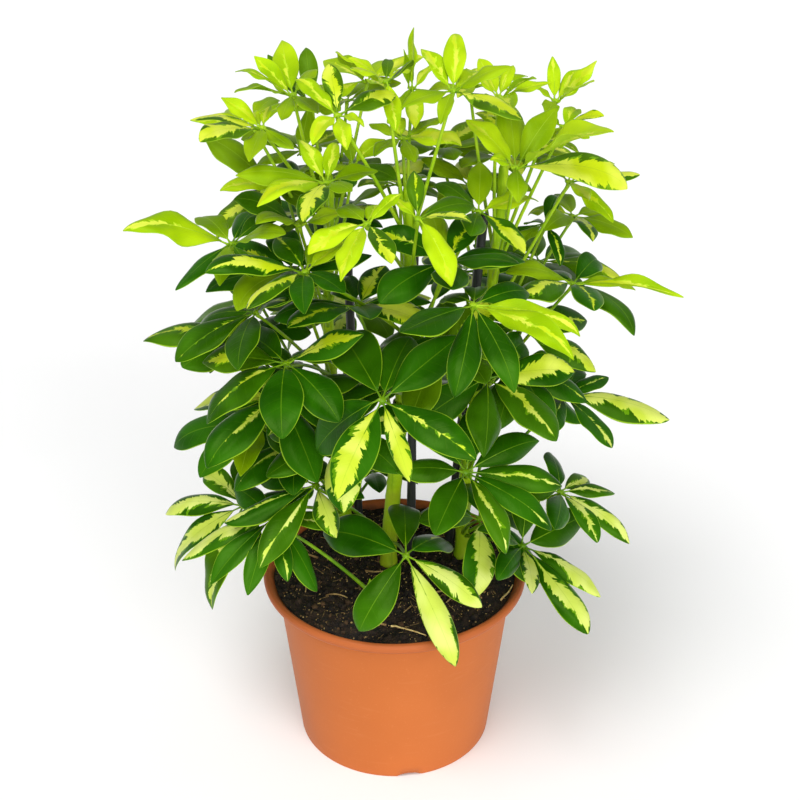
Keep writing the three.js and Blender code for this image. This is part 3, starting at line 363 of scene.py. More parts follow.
def clear_leaflets(leaves):
    """Turns the leaflets a little at a time, for a set number of rounds, away from one another, the rods and
    the pot.
    """
    blades = [(leaf, leaflet) for leaf in leaves for leaflet in leaf["leaflets"]]
    owner = np.array([leaf["index"] for leaf, _ in blades])
    stem_of = np.array([list(STEMS).index(leaf["stem"]) for leaf, _ in blades])
    hub, normal, front, side = (np.array([leaf[key] for leaf, _ in blades])
                                for key in ("hub", "normal", "front", "side"))
    yaw, long, wide, lift, bend = (np.array([leaflet[key] for _, leaflet in blades])
                                   for key in ("yaw", "long", "wide", "lift", "bend"))
    lifted, yawed = np.zeros(len(blades)), np.zeros(len(blades))
    rods, rod_owner = rods_in_the_way(leaves)

    shares = sorted({s for s, _ in SAMPLES})
    spots = [(shares.index(s), across) for s, across in SAMPLES]
    first, second = np.triu_indices(len(blades), 1)
    others = owner[first] != owner[second]
    first, second = first[others], second[others]
    contact = np.where(stem_of[first] == stem_of[second], CLEARING.blade, CLEARING.other_stem)
    near = 0.55 * (long[first] + long[second]) + contact

    for _ in range(CLEARING.rounds):
        turn = (yaw + yawed)[:, None]
        out = front * np.cos(turn) + side * np.sin(turn)
        across = np.cross(normal, out)
        raised = lift + lifted
        at, before, points, ups = hub + out * HUB.radius, 0, [], []
        for s in shares:
            half = (raised - bend * (before + s) * 0.5)[:, None]
            at = at + (out * np.cos(half) + normal * np.sin(half)) * (long * (s - before))[:, None]
            pitch = (raised - bend * s)[:, None]
            points.append(at)
            ups.append(normal * np.cos(pitch) - out * np.sin(pitch))
            before = s
        samples = np.stack([points[k] + across * (wide * c / 2)[:, None] for k, c in spots], 1)
        middle = shares.index(0.56)
        centre, up = points[middle], ups[middle]
        lifts, yaws, pushes = (np.zeros(len(blades)) for _ in range(3))

        def push(which, at_points, force):
            arm = np.maximum(CLEARING.least_arm, lengths(at_points - hub[which]))
            np.add.at(lifts, which, dots(force, up[which]) / arm)
            np.add.at(yaws, which, dots(force, across[which]) / arm)
            np.add.at(pushes, which, 1)

        # Blades of other leaves push each other apart, square to both.
        apart = centre[first] - centre[second]
        close = lengths(apart) <= near
        a, b, apart, reach = first[close], second[close], apart[close], contact[close]
        same_way = np.where(dots(up[a], up[b]) < 0, -1, 1)
        facing = up[a] + up[b] * same_way[:, None]
        facing /= lengths(facing)[:, None]
        facing *= np.where(dots(apart, facing) < 0, -1, 1)[:, None]
        distance = lengths(samples[a][:, :, None] - samples[b][:, None])
        pair, i, j = np.nonzero(distance < reach[:, None, None])
        force = facing[pair] * ((reach[pair] - distance[pair, i, j]) / 2)[:, None]
        push(a[pair], samples[a[pair], i], force)
        push(b[pair], samples[b[pair], j], -force)

        # Rods push blades straight away.
        gaps = lengths(centre[:, None] - rods[None])
        blade, rod = np.nonzero((gaps < (long * 0.9 + 14)[:, None]) & (owner[:, None] != rod_owner[None]))
        offset = samples[blade] - rods[rod][:, None]
        distance = lengths(offset)
        pair, i = np.nonzero(distance < CLEARING.rod)
        found = np.maximum(0.1, distance[pair, i])[:, None]
        push(blade[pair], samples[blade[pair], i], offset[pair, i] * (CLEARING.rod - found) / found)

        # The soil and the pot's rim push them up.
        radius = np.hypot(samples[..., 0], samples[..., 1])
        over_rim = np.where(radius < POT.rim_radius + 8, POT.height + CLEARING.over_rim, -1e9)
        ground = np.where(radius < POT.neck_radius, SOIL.crown + CLEARING.over_soil, over_rim)
        short = ground - samples[..., 2]
        blade, i = np.nonzero(short > 0)
        push(blade, samples[blade, i], short[blade, i][:, None] * vec(0, 0, 2))

        share = CLEARING.share / np.sqrt(np.maximum(pushes, 1))

        def moved(now, by, step, most):
            return np.where(pushes > 0, np.clip(now + np.clip(by * share, -step, step), -most, most), now)

        lifted = moved(lifted, lifts, CLEARING.lift_step, CLEARING.most_lift * DEGREE)
        yawed = moved(yawed, yaws, CLEARING.yaw_step, CLEARING.most_yaw * DEGREE)
        keep_fans_open(leaves, yaw, yawed, lift, lifted, wide, long)
    for k, (_, leaflet) in enumerate(blades):
        leaflet["yaw"] += yawed[k]
        leaflet["lift"] += lifted[k]


leaves = [make_leaf(row, index) for index, row in enumerate(LEAVES)]
clear_leaflets(leaves)


# ---- meshes

class Shape:
    """Points, faces and what the materials read, gathered for one mesh, in millimetres."""

    def __init__(self):
        self.points, self.faces, self.slots = [], [], []
        self.read = {"place": [], "looks": []}

    def add(self, points, faces, slot=0, place=(0, 0, 0), looks=(0, 0, 0)):
        """place and looks are three numbers for each point, or three for them all."""
        points = np.asarray(points, float).reshape(-1, 3)
        start = sum(len(p) for p in self.points)
        self.points.append(points)
        self.faces += [tuple(start + k for k in face) for face in faces]
        self.slots += [slot] * len(faces)
        for name, value in (("place", place), ("looks", looks)):
            self.read[name].append(np.broadcast_to(np.asarray(value, float), points.shape))

    def make(self, name, materials, smooth=True):
        mesh = bpy.data.meshes.new(name)
        mesh.from_pydata((np.concatenate(self.points) * MM).tolist(), [], self.faces)
        for key, values in self.read.items():
            attribute = mesh.attributes.new(key, "FLOAT_VECTOR", "POINT")
            attribute.data.foreach_set("vector", np.concatenate(values).astype(np.float32).ravel())
        for material in materials:
            mesh.materials.append(material)
        mesh.polygons.foreach_set("material_index", self.slots)
        mesh.polygons.foreach_set("use_smooth", [smooth] * len(self.faces))
        mesh.update()
        sorted_out = bmesh.new()
        sorted_out.from_mesh(mesh)
        bmesh.ops.recalc_face_normals(sorted_out, faces=sorted_out.faces)
        sorted_out.to_mesh(mesh)
        sorted_out.free()
        piece = bpy.data.objects.new(name, mesh)
        bpy.context.scene.collection.objects.link(piece)
        return piece


def ring_faces(rings, sides, closed=True):
    """Faces between rings of as many points each. A closed ring's last point joins its first."""
    faces = []
    for k in range(rings - 1):
        for i in range(sides if closed else sides - 1):
            j = (i + 1) % sides
            faces.append((k * sides + i, k * sides + j, (k + 1) * sides + j, (k + 1) * sides + i))
    return faces


def end_faces(rings, sides):
    """One face over the first ring and one over the last."""
    return [tuple(range(sides))[::-1], tuple(range((rings - 1) * sides, rings * sides))]


def turns_of(sides):
    return np.arange(sides) * 2 * math.pi / sides


def tube(shape, path, radii, sides, slot=0, looks=(0, 0, 0), seed=0.0):
    """A round bar along a path, closed at both ends. Its place is its share along, the turn and the seed."""
    path = np.asarray(path, float)
    along = np.gradient(path, axis=0)
    along /= lengths(along)[:, None]
    u = np.cross(along[0], vec(0.31, 0.9, 0.2))
    turns = turns_of(sides)
    points, places = [], []
    for k, point in enumerate(path):
        u = unit(u - along[k] * u.dot(along[k]))
        v = np.cross(along[k], u)
        points.append(point + radii[k] * (np.outer(np.cos(turns), u) + np.outer(np.sin(turns), v)))
        places += [(k / (len(path) - 1), t / (2 * math.pi), seed) for t in turns]
    points += [path[:1], path[-1:]]
    places += [(0, 0, seed), (1, 0, seed)]
    faces = ring_faces(len(path), sides)
    last, bottom, top = (len(path) - 1) * sides, len(path) * sides, len(path) * sides + 1
    faces += [(bottom, (i + 1) % sides, i) for i in range(sides)]
    faces += [(top, last + i, last + (i + 1) % sides) for i in range(sides)]
    shape.add(np.concatenate(points), faces, slot, places, looks)


# ---- leafy stems

BLADE_SLOT, STALK_SLOT, STEM_SLOT = 0, 1, 2
# A blade's rows and columns of faces, how thick it is at its midrib and its edge, the share of its length
# where it widens out of its stalk, how deep its groove is, and how many side veins it has.
FINE = Named(rows=18, columns=10, thickness=0.5, edge=0.2, root=0.07, groove=0.22, veins=9)
# How blades differ, each as the least and the most: the degrees that a tip hooks down, how slowly the blade
# widens from its stalk, and the waves along an edge.
HOOK, SLOWNESS, WAVES = (-6, 44), (0.92, 1.15), (1, 2.2)
# The same from old blades to young ones: how pointed a tip is, and the waves' height as a share of length.
POINT, WAVE_HEIGHT = (0.84, 1.12), (0.02, 0.05)
FACING = 14  # how many degrees a blade may roll to face the plant's front, where its light comes from
ROLLED = {(4, 6): 12, (17, 3): 26, (45, 3): 52}  # and how many more some roll, by leaf and place in it
# What each letter of a leaf's looks says of a leaflet: how far the yellow reaches from its midrib, from 0 to
# about 1, and how young and lime-coloured its green is.
LOOKS = dict(d=(0, 0), b=(0.28, 0), s=(0.4, 0), e=(0.46, 0.06), h=(0.6, 0), v=(0.68, 0), Y=(0.94, 0),
             m=(0.16, 0.5), l=(0.4, 0.9), L=(0.66, 1))
STALK_RADII = (1.75, 1.3)  # a leaf's stalk, at its foot and at its end
# The leaflet's own short stalk, which runs on under the blade as its midrib: shares of the length, and radii.
RIB = np.array([(-0.03, 1.25), (0, 1.15), (0.03, 0.85), (0.06, 0.8), (0.09, 0.75), (0.14, 0.7), (0.22, 0.62),
                (0.34, 0.54), (0.48, 0.46), (0.62, 0.38), (0.76, 0.3), (0.88, 0.2)])


def leaflet_looks(leaf, j):
    """How variegated and how young a leaflet is."""
    which = leaf["leaflets"][j]["which"]
    crown = clamp((leaf["hub"][2] - 480) / 110, 0, 1)
    if "looks" in leaf["row"]:
        variegated, young = LOOKS[leaf["row"]["looks"][j]]
        variegated += jitter(which, 20, 0.05) * (variegated > 0.2)
        return variegated, clamp(young + 0.12 * crown + jitter(which, 21, 0.05), 0, 1)
    young = clamp(crown * 0.9 + jitter(leaf["index"], 22, 0.15) + jitter(which, 23, 0.08), 0, 1)
    plain = draw(which, 24) < mix(0.6, 0.35, young)
    return 0.1 * draw(which, 25) if plain else mix(0.36, 0.95, draw(which, 26) ** 1.3), young


def blade_width(s, slowness, point):
    """A blade's half-width at shares of its length, as a share of its greatest."""
    x = np.clip((s - FINE.root) / (1 - FINE.root), 0, 1)
    peak = slowness / (slowness + point)
    return x ** slowness * (1 - x) ** point / (peak ** slowness * (1 - peak) ** point)


def midrib_of(leaf, j):
    """A function that gives points on a leaflet's midrib, and the directions up from it and across it."""
    leaflet = leaf["leaflets"][j]
    which, long, lift, bend = (leaflet[key] for key in ("which", "long", "lift", "bend"))
    out = leaf["front"] * math.cos(leaflet["yaw"]) + leaf["side"] * math.sin(leaflet["yaw"])
    normal, across = leaf["normal"], np.cross(leaf["normal"], out)
    hook = mix(*HOOK, draw(which, 40)) * DEGREE
    roll = ROLLED.get((leaf["index"], j), 0) - across[1] * FACING
    steps, back = 200, 10  # steps of the sums along the midrib, and how many more lie behind its root
    fine = np.linspace(-back / steps, 1, steps + back + 1)
    halfway = (fine[1:] + fine[:-1]) / 2
    sloped = lift - bend * halfway - hook * np.maximum(halfway, 0) ** 4
    forward, raised = (np.concatenate([[0], np.cumsum(part(sloped))]) / steps for part in (np.cos, np.sin))
    forward, raised = forward - forward[back], raised - raised[back]

    def midrib(s):
        turned = lift - bend * s - hook * np.maximum(s, 0) ** 4
        ease = np.clip(s / 0.3, 0, 1)
        along = np.outer(np.interp(s, fine, forward), out) + np.outer(np.interp(s, fine, raised), normal)
        at = leaf["hub"] + out * HUB.radius + long * along
        at += np.outer(s ** 2 * long * jitter(which, 31, 0.06), across)
        up = np.outer(np.cos(turned), normal) - np.outer(np.sin(turned), out)
        twist = (ease * (roll + s * jitter(which, 32, 28)) * DEGREE)[:, None]
        return at, up * np.cos(twist) + across * np.sin(twist), across * np.cos(twist) - up * np.sin(twist)

    return midrib


def add_leaflet(shape, leaf, j):
    leaflet = leaf["leaflets"][j]
    which, long = leaflet["which"], leaflet["long"]
    seed, midrib = draw(which, 30), midrib_of(leaf, j)
    variegated, young = leaflet_looks(leaf, j)

    rows, columns = FINE.rows, FINE.columns
    s = mix(FINE.root, 0.999, 1 - (1 - np.linspace(0, 1, rows + 1)) ** 1.25)
    u = np.sin(np.linspace(-1, 1, columns + 1) * math.pi / 2)
    point = mix(*POINT, young) + jitter(which, 34, 0.14)
    half = leaflet["wide"] * 0.5 * blade_width(s, mix(*SLOWNESS, draw(which, 33)), point) + 0.5
    fold, curl = 0.14 + 0.22 * young + jitter(which, 35, 0.2), 0.34 + jitter(which, 41, 0.26)
    wave = [np.sin(2 * math.pi * (s * mix(*WAVES, draw(which, 36 + k)) + draw(which, 38 + k)))[:, None]
            for k in (0, 1)]
    wave = np.where(u[None] < 0, *wave) * u[None] ** 2
    drop = half[:, None] * (fold * np.abs(u) - curl * np.abs(u) ** 2.6)[None]
    drop = drop + mix(*WAVE_HEIGHT, young) * long * wave * np.sin(math.pi * s)[:, None]
    at, up, aside = (values[:, None] for values in midrib(s))
    surface = at + aside * (half[:, None] * u[None])[..., None] + up * drop[..., None]
    thick = (mix(FINE.thickness, FINE.edge, u ** 2) / 2)[None, :, None] * up
    groove = np.exp(-(u / 0.12) ** 2)[None, :, None] * up * FINE.groove

    count = (rows + 1) * (columns + 1)
    top = ring_faces(rows + 1, columns + 1, closed=False)
    faces = [tuple(face[::-1]) for face in top] + [tuple(count + k for k in face) for face in top]
    grid = np.arange(count).reshape(rows + 1, columns + 1)
    border = np.concatenate([grid[0], grid[1:, -1], grid[-1, -2::-1], grid[-2:0:-1, 0]])
    faces += [(a, b, b + count, a + count) for a, b in zip(border, np.roll(border, -1))]
    points = np.concatenate([(surface + side - groove).reshape(-1, 3) for side in (thick, -thick)])
    place = np.stack(np.broadcast_arrays(u[None], s[:, None], seed), -1).reshape(-1, 3)
    looks = [(variegated, young, under) for under in (0, 1) for _ in range(count)]
    shape.add(points, faces, BLADE_SLOT, np.concatenate([place, place]), looks)

    s, radii = RIB.T
    at, up, _ = midrib(s)
    sink = np.where(s < 0.1, 0.1, 0.35)[:, None]
    tube(shape, at - up * sink, radii, 5, STALK_SLOT, (0.35, young, 0), seed)


def add_stalk(shape, leaf):
    """A leaf's long stalk, with a thicker foot where it leaves the stem and a swollen end under the hub."""
    index, hub, normal = leaf["index"], leaf["hub"], leaf["normal"]
    young = clamp((hub[2] - 380) / 200, 0, 1)
    shares = np.concatenate([[0, 0.02, 0.05], np.linspace(0.1, 0.94, 11), [0.97, 1]])
    bow = np.cross(leaf["ends"][2] - leaf["ends"][0], vec(0, 0, 1))
    bow = bow / max(1, np.linalg.norm(bow)) * jitter(index, 50, 2.5)
    path = [petiole_point(leaf, t) + bow * math.sin(math.pi * t) for t in shares]
    radii = mix(*STALK_RADII, shares)
    radii = radii + 1.5 * np.exp(-shares / 0.035) + 0.55 * np.exp(-((1 - shares) / 0.03) ** 2)
    tube(shape, [*path, hub + normal * 0.4], [*radii, 2.0], 9, STALK_SLOT, (0, young, 0), draw(index, 51))
    # The knob that the leaflets leave from.
    knob = [hub + normal * h for h in (-1.5, -0.9, 0, 0.9, 1.5)]
    tube(shape, knob, [1.9, 2.9, 3.3, 2.6, 1.1], 12, STALK_SLOT, (0.6, young, 0), draw(index, 52))


def add_stem(shape, name):
    """A stem, ringed where old leaves grew."""
    stem = STEMS[name]
    low, high = SOIL.crown - stem["rooted"], stem["top"] + STEM.tip_height
    ringed_from = 150
    heights = [*np.linspace(low, ringed_from, 4), *np.arange(ringed_from + 4, high - 4, 2.4),
               high - 3, high - 1, high]
    seed = list(STEMS).index(name) * 0.27
    rings = np.array([ringed_from + 21 * k + jitter(k, 60 + seed, 6) for k in range(20)])
    path, radii = [], []
    for z in heights:
        swell = np.exp(-((z - rings) / 1.6) ** 2).sum() * 0.55
        wander = vec(math.sin(z / 31 + seed * 9), math.cos(z / 27 + seed * 5), 0) * 0.7
        path.append(stem_point(stem, z) + wander)
        flare = 1.6 * math.exp(-abs(z - SOIL.crown) / 7)
        top = clamp((high - z) / 9, 0, 1) ** 0.6
        radii.append((stem_radius(stem, z) + swell + flare) * max(0.12, top))
    tube(shape, path, radii, 20, STEM_SLOT, seed=seed)


# ---- the pot and the soil

UNDER_LIP = POT.height - POT.lip


def wall_radius(z):
    return mix(POT.base_radius, POT.neck_radius, z / UNDER_LIP)


def rounded(profile, radius):
    """A profile of [radius, height] points with its inner corners rounded."""
    made = [profile[0]]
    for before, corner, after in zip(profile, profile[1:], profile[2:]):
        before, corner, after = vec(*before), vec(*corner), vec(*after)
        ends = []
        for other in (before, after):
            length = np.linalg.norm(other - corner)
            ends.append(corner + (other - corner) * min(radius, 0.45 * length) / length)
        for t in (0, 0.33, 0.67, 1):
            made.append((1 - t) ** 2 * ends[0] + 2 * t * (1 - t) * corner + t * t * ends[1])
    made.append(profile[-1])
    return np.array([tuple(p) for p in made])


def pot_profile():
    """The turned outline: out along the underside, up the outside, down the inside and in along the floor."""
    height, floor, recess, wall = POT.height, POT.floor, POT.recess, POT.wall
    base, boss, neck, rim = POT.base_radius, POT.boss_radius, POT.neck_radius, POT.rim_radius
    axis, ring = 0.01, POT.foot_ring
    return rounded([
        (axis, 0), (boss, 0), (boss + recess, recess),
        (base - ring - recess, recess), (base - ring, 0), (base, 0),
        *((wall_radius(z), z) for z in np.linspace(12, UNDER_LIP - 1.5, 14)),
        (neck, UNDER_LIP), (rim - 3, UNDER_LIP + 1), (rim - 0.6, UNDER_LIP + 4), (rim, UNDER_LIP + 7.5),
        (rim - 1.6, height - 0.8), (rim - 4.4, height), (rim - 6.6, height - 1.6),
        (neck - wall + 1, UNDER_LIP - 2),
        *((wall_radius(z) - wall, z) for z in np.linspace(UNDER_LIP - 14, 12, 8)),
        (wall_radius(floor) - wall, floor), (axis, floor),
    ], 0.9)


def with_drain_rings(profile):
    """The profile with rings that the drain holes are cut through, and where these start on either face."""
    starts = []
    stops = DRAIN.ring_radius + DRAIN.radius * np.linspace(-2, 2, 7)
    for z, order in ((POT.recess, stops), (POT.floor, stops[::-1])):
        k = next(k for k in range(len(profile) - 1) if abs(profile[k:k + 2, 1] - z).max() < 1e-6
                 and np.prod(profile[k:k + 2, 0] - stops[0]) < 0)
        profile = np.insert(profile, k + 1, [(stop, z) for stop in order], axis=0)
        starts.append(k + 1)
    return profile, starts, len(stops) - 1


def foot_height(radius, z, turn):
    """A profile point's height at a turn, raised where a notch is cut in the foot ring."""
    base = POT.base_radius
    if z < POT.recess and radius > base - POT.foot_ring - POT.recess:
        for k in range(NOTCH.count):
            notch = (NOTCH.first_angle + 360 * k / NOTCH.count) * DEGREE
            off = abs((turn - notch + math.pi) % (2 * math.pi) - math.pi) * base / (NOTCH.width / 2)
            if off < 1:
                z = max(z, NOTCH.height * math.sqrt(1 - off ** 2))
    return z


def round_block(k, span, rows, sides):
    """The numbers of the points round a block of faces, which starts at ring k and spans so many rows."""
    between = range(k + 1, k + rows)
    block = [(k, i) for i in span] + [(ring, span[-1]) for ring in between]
    block += [(k + rows, i) for i in span[::-1]] + [(ring, span[0]) for ring in between[::-1]]
    return [ring * sides + i for ring, i in block]


def pot_shape():
    """The turned pot, with notches in its foot ring and drain holes in its floor."""
    sides, edge_radius = 240, 0.5
    reach = 10  # how many faces are cut out to either side of a drain hole's middle
    profile, starts, rows = with_drain_rings(pot_profile())
    points, places = [], []

    def add_point(x, y, z, turn, level, radius):
        points.append((x, y, z))
        places.append((turn / (2 * math.pi), level / POT.height, radius / POT.rim_radius))

    for radius, z in profile:
        for turn in turns_of(sides):
            x, y = radius * math.cos(turn), radius * math.sin(turn)
            add_point(x, y, foot_height(radius, z, turn), turn, z, radius)
    faces, cut = ring_faces(len(profile), sides), set()
    for hole in range(DRAIN.count):
        middle = round((hole + 0.5) * sides / DRAIN.count)
        turn = middle * 2 * math.pi / sides
        centre = DRAIN.ring_radius * vec(math.cos(turn), math.sin(turn))
        span = [i % sides for i in range(middle - reach, middle + reach + 1)]
        edges = []
        for k, inward in zip(starts, (edge_radius, -edge_radius)):
            cut.update((k + row) * sides + i for row in range(rows) for i in span[:-1])
            loop = round_block(k, span, rows, sides)
            away = np.array([unit(vec(*points[at][:2]) - centre) for at in loop])
            z = points[loop[0]][2]
            for radius, deeper in ((DRAIN.radius + edge_radius, 0), (DRAIN.radius, inward)):
                edge = [len(points) + n for n in range(len(loop))]
                for x, y in centre + radius * away:
                    add_point(x, y, z + deeper, turn, z, math.hypot(x, y))
                faces += zip(loop, np.roll(loop, -1), np.roll(edge, -1), edge)
                loop = edge
            edges.append(loop)
        below, above = edges[0], np.roll(edges[1][::-1], 1 - rows)
        faces += zip(below, np.roll(below, -1), np.roll(above, -1), above)
    faces = [tuple(face) for at, face in enumerate(faces) if at not in cut] + end_faces(len(profile), sides)
    # Points inside the cuts belong to no face, and are left out.
    kept = {old: new for new, old in enumerate(sorted({int(n) for face in faces for n in face}))}
    shape = Shape()
    shape.add([points[n] for n in kept], [tuple(kept[n] for n in face) for face in faces],
              place=[places[n] for n in kept])
    return shape


def soil_edge():
    """How far out the soil reaches, at the slope inside the pot's lip."""
    low, high = POT.neck_radius - POT.wall + 1, POT.rim_radius - 6.6
    return mix(low, high, (SOIL.rim - UNDER_LIP + 2) / (POT.lip + 0.4)) - 0.6


def soil_height(x, y):
    share = np.hypot(x, y) / soil_edge()
    bumps = SOIL.bumps * np.sin(x * 0.13 + 1) * np.cos(y * 0.11 - x * 0.05)
    return mix(SOIL.crown, SOIL.rim, share ** 3) + bumps


def soil_spot(random, margin):
    """A place on the soil, at least so far from its edge."""
    r, turn = (soil_edge() - margin) * math.sqrt(random.random()), random.random() * 2 * math.pi
    return r * math.cos(turn), r * math.sin(turn)


def add_soil_body(shape, random):
    """What fills the pot, rough on top."""
    sides, rings, gap = 150, 46, 0.5
    turns = turns_of(sides)
    floor, under = POT.floor, UNDER_LIP - 3
    rows = [np.column_stack([r * np.cos(turns), r * np.sin(turns), np.full(sides, float(z))]) for r, z in (
        (gap, floor + 0.4), (wall_radius(floor) - POT.wall - gap, floor + 0.4),
        (wall_radius(under) - POT.wall - gap, under))]
    for k in range(rings):
        r = max(soil_edge() * (1 - k / (rings - 1)), 0.4)
        x, y = r * np.cos(turns), r * np.sin(turns)
        rough = random.normal(0, 0.55, sides) * min(1, r / 12)
        rough = rough + 0.9 * np.sin(x * 0.41 + y * 0.2) * np.sin(y * 0.37)
        x, y = (at + random.normal(0, 0.35, sides) * (k > 0) for at in (x, y))
        rows.append(np.column_stack([x, y, soil_height(x, y) + rough]))
    shape.add(np.concatenate(rows), ring_faces(len(rows), sides) + end_faces(len(rows), sides))


def add_crumbs(shape, random, count, flecks):
    """Lumps with corners pushed in and out, of which the last ones are small pale flecks."""
    gold = (1 + 5 ** 0.5) / 2
    ico = np.array([(0, a, b * gold) for a in (-1, 1) for b in (-1, 1)])
    ico = np.concatenate([ico, ico[:, [1, 2, 0]], ico[:, [2, 0, 1]]]) / math.hypot(1, gold)
    close = lengths(ico[:, None] - ico[None]) < 1.1
    triangles = []
    for a, b, c in itertools.combinations(range(12), 3):
        if close[a, b] and close[b, c] and close[a, c]:
            flip = np.dot(np.cross(ico[b] - ico[a], ico[c] - ico[a]), ico[a]) < 0
            triangles.append((a, c, b) if flip else (a, b, c))
    for k in range(count):
        fleck = k >= count - flecks
        x, y = soil_spot(random, 2)
        share = random.random()
        size = mix(0.35, 0.9, share) if fleck else mix(0.8, 3.4, share ** 3)
        stretch = random.uniform(0.6, 1.3, 3)
        points = ico * random.uniform(0.7, 1.2, (12, 1)) * size * stretch
        spin = random.random() * 2 * math.pi
        cos, sin = math.cos(spin), math.sin(spin)
        points[:, :2] = points[:, :2] @ np.array([[cos, sin], [-sin, cos]])
        at = vec(x, y, soil_height(x, y) + (size * 0.35 + fleck * 0.5))
        shape.add(points + at, triangles, int(fleck), (random.random(), 0, 0))


def add_fibres(shape, random, count, twigs):
    """Thin bent bars that lie on the soil, of which the first ones are longer and thicker."""
    for k in range(count):
        twig = k < twigs
        x, y = soil_spot(random, 12)
        heading, bend = random.random() * 2 * math.pi, random.normal(0, 0.5)
        length = random.uniform(12, 30) if twig else random.uniform(3, 13)
        thick = random.uniform(0.55, 1.1) if twig else random.uniform(0.14, 0.3)
        path, tip = [], random.uniform(-0.05, 0.25)
        for t in np.linspace(0, 1, 7):
            angle = heading + bend * t
            x, y = x + math.cos(angle) * length / 7, y + math.sin(angle) * length / 7
            if math.hypot(x, y) > soil_edge() - 2:
                break
            path.append((x, y, soil_height(x, y) + 1.1 + thick + tip * length * t * (0.3 if twig else 1)))
        if len(path) > 2:
            radii = thick * np.linspace(1, 0.6, len(path))
            tube(shape, path, radii, 6, 1, (random.random(), float(twig), 0), random.random())


def add_straw(shape, *corners):
    """A pale straw, bent at its corners, that lies on the soil."""
    steps = 12
    corners, shares = np.array(corners, float), np.linspace(0, 1, steps)
    x, y = (np.interp(shares, np.linspace(0, 1, len(corners)), corners[:, k]) for k in (0, 1))
    path = np.column_stack([x, y, soil_height(x, y) + 2.2 + 0.5 * np.sin(shares * 7)])
    tube(shape, path, np.linspace(0.95, 0.5, steps), 8, 1, (1, 0, 1), 1)


def soil_shape(random):
    shape = Shape()
    add_soil_body(shape, random)
    add_crumbs(shape, random, 2300, 800)
    add_fibres(shape, random, 170, 14)
    add_straw(shape, (-3, -86), (2, -86), (13, -91), (27, -98))
    add_straw(shape, (95, -46), (101, -36), (107, -24))
    return shape


# ---- canes and clips

def cane_shape(cane):
    shape, radius = Shape(), CANE.radius
    low, high = SOIL.crown - CANE.rooted, cane["top"]
    heights = [*np.linspace(low, high - 2, 60)]
    radii = [radius + 0.12 * math.sin(z * 0.8) for z in heights]
    heights += [high - 1, high - 0.3, high]
    radii += [radius * share for share in (0.95, 0.75, 0.3)]
    tube(shape, [cane_point(cane, z) for z in heights], radii, 24)
    return shape


def clip_shape(stem, cane):
    """A flat band with rounded edges round a stem and its cane."""
    centre, rod = stem_point(stem, cane["clip"]), cane_point(cane, cane["clip"])
    toward = math.atan2(rod[1] - centre[1], rod[0] - centre[0])
    between = math.hypot(*(rod - centre)[:2])
    round_stem = stem_radius(stem, cane["clip"]) + CLIP.stem_play
    round_cane = CANE.radius + CLIP.cane_play
    lean = math.acos((round_stem - round_cane) / between)
    low, high, middle = 0.4, 0.5, CLIP.thickness / 2
    section = [(-high, -low), (-low, -high), (low, -high), (high, -low),
               (high, low), (low, high), (-low, high), (-high, low)]
    rows, steps = [], 22
    for at, radius, start, end in ((rod, round_cane, -lean, lean),
                                   (centre, round_stem, lean, 2 * math.pi - lean)):
        for k in range(steps + 1):
            angle = toward + mix(start, end, k / steps)
            way = vec(math.cos(angle), math.sin(angle), 0)
            rows.append([vec(*at[:2], cane["clip"]) + way * (radius + middle + CLIP.thickness * a)
                         + vec(0, 0, CLIP.height * b) for a, b in section])
    shape = Shape()
    sides, count = len(section), len(rows)
    faces = [tuple(x % (count * sides) for x in face) for face in ring_faces(count + 1, sides)]
    shape.add(rows, faces)
    return shape


# ---- materials

def rgb(red, green, blue):
    """A colour given from 0 to 255, as the shader takes it."""
    channels = [c / 255 for c in (red, green, blue)]
    return (*(c / 12.92 if c <= 0.04045 else ((c + 0.055) / 1.055) ** 2.4 for c in channels), 1)


class Value:
    """What a node gives, for sums, differences and products."""

    def __init__(self, graph, socket):
        self.graph, self.socket = graph, socket

    def __add__(self, other):
        return self.graph.math("ADD", self, other)

    def __mul__(self, other):
        return self.graph.math("MULTIPLY", self, other)

    def __sub__(self, other):
        return self.graph.math("SUBTRACT", self, other)

    def __rsub__(self, other):
        return self.graph.math("SUBTRACT", other, self)

    __radd__, __rmul__ = __add__, __mul__


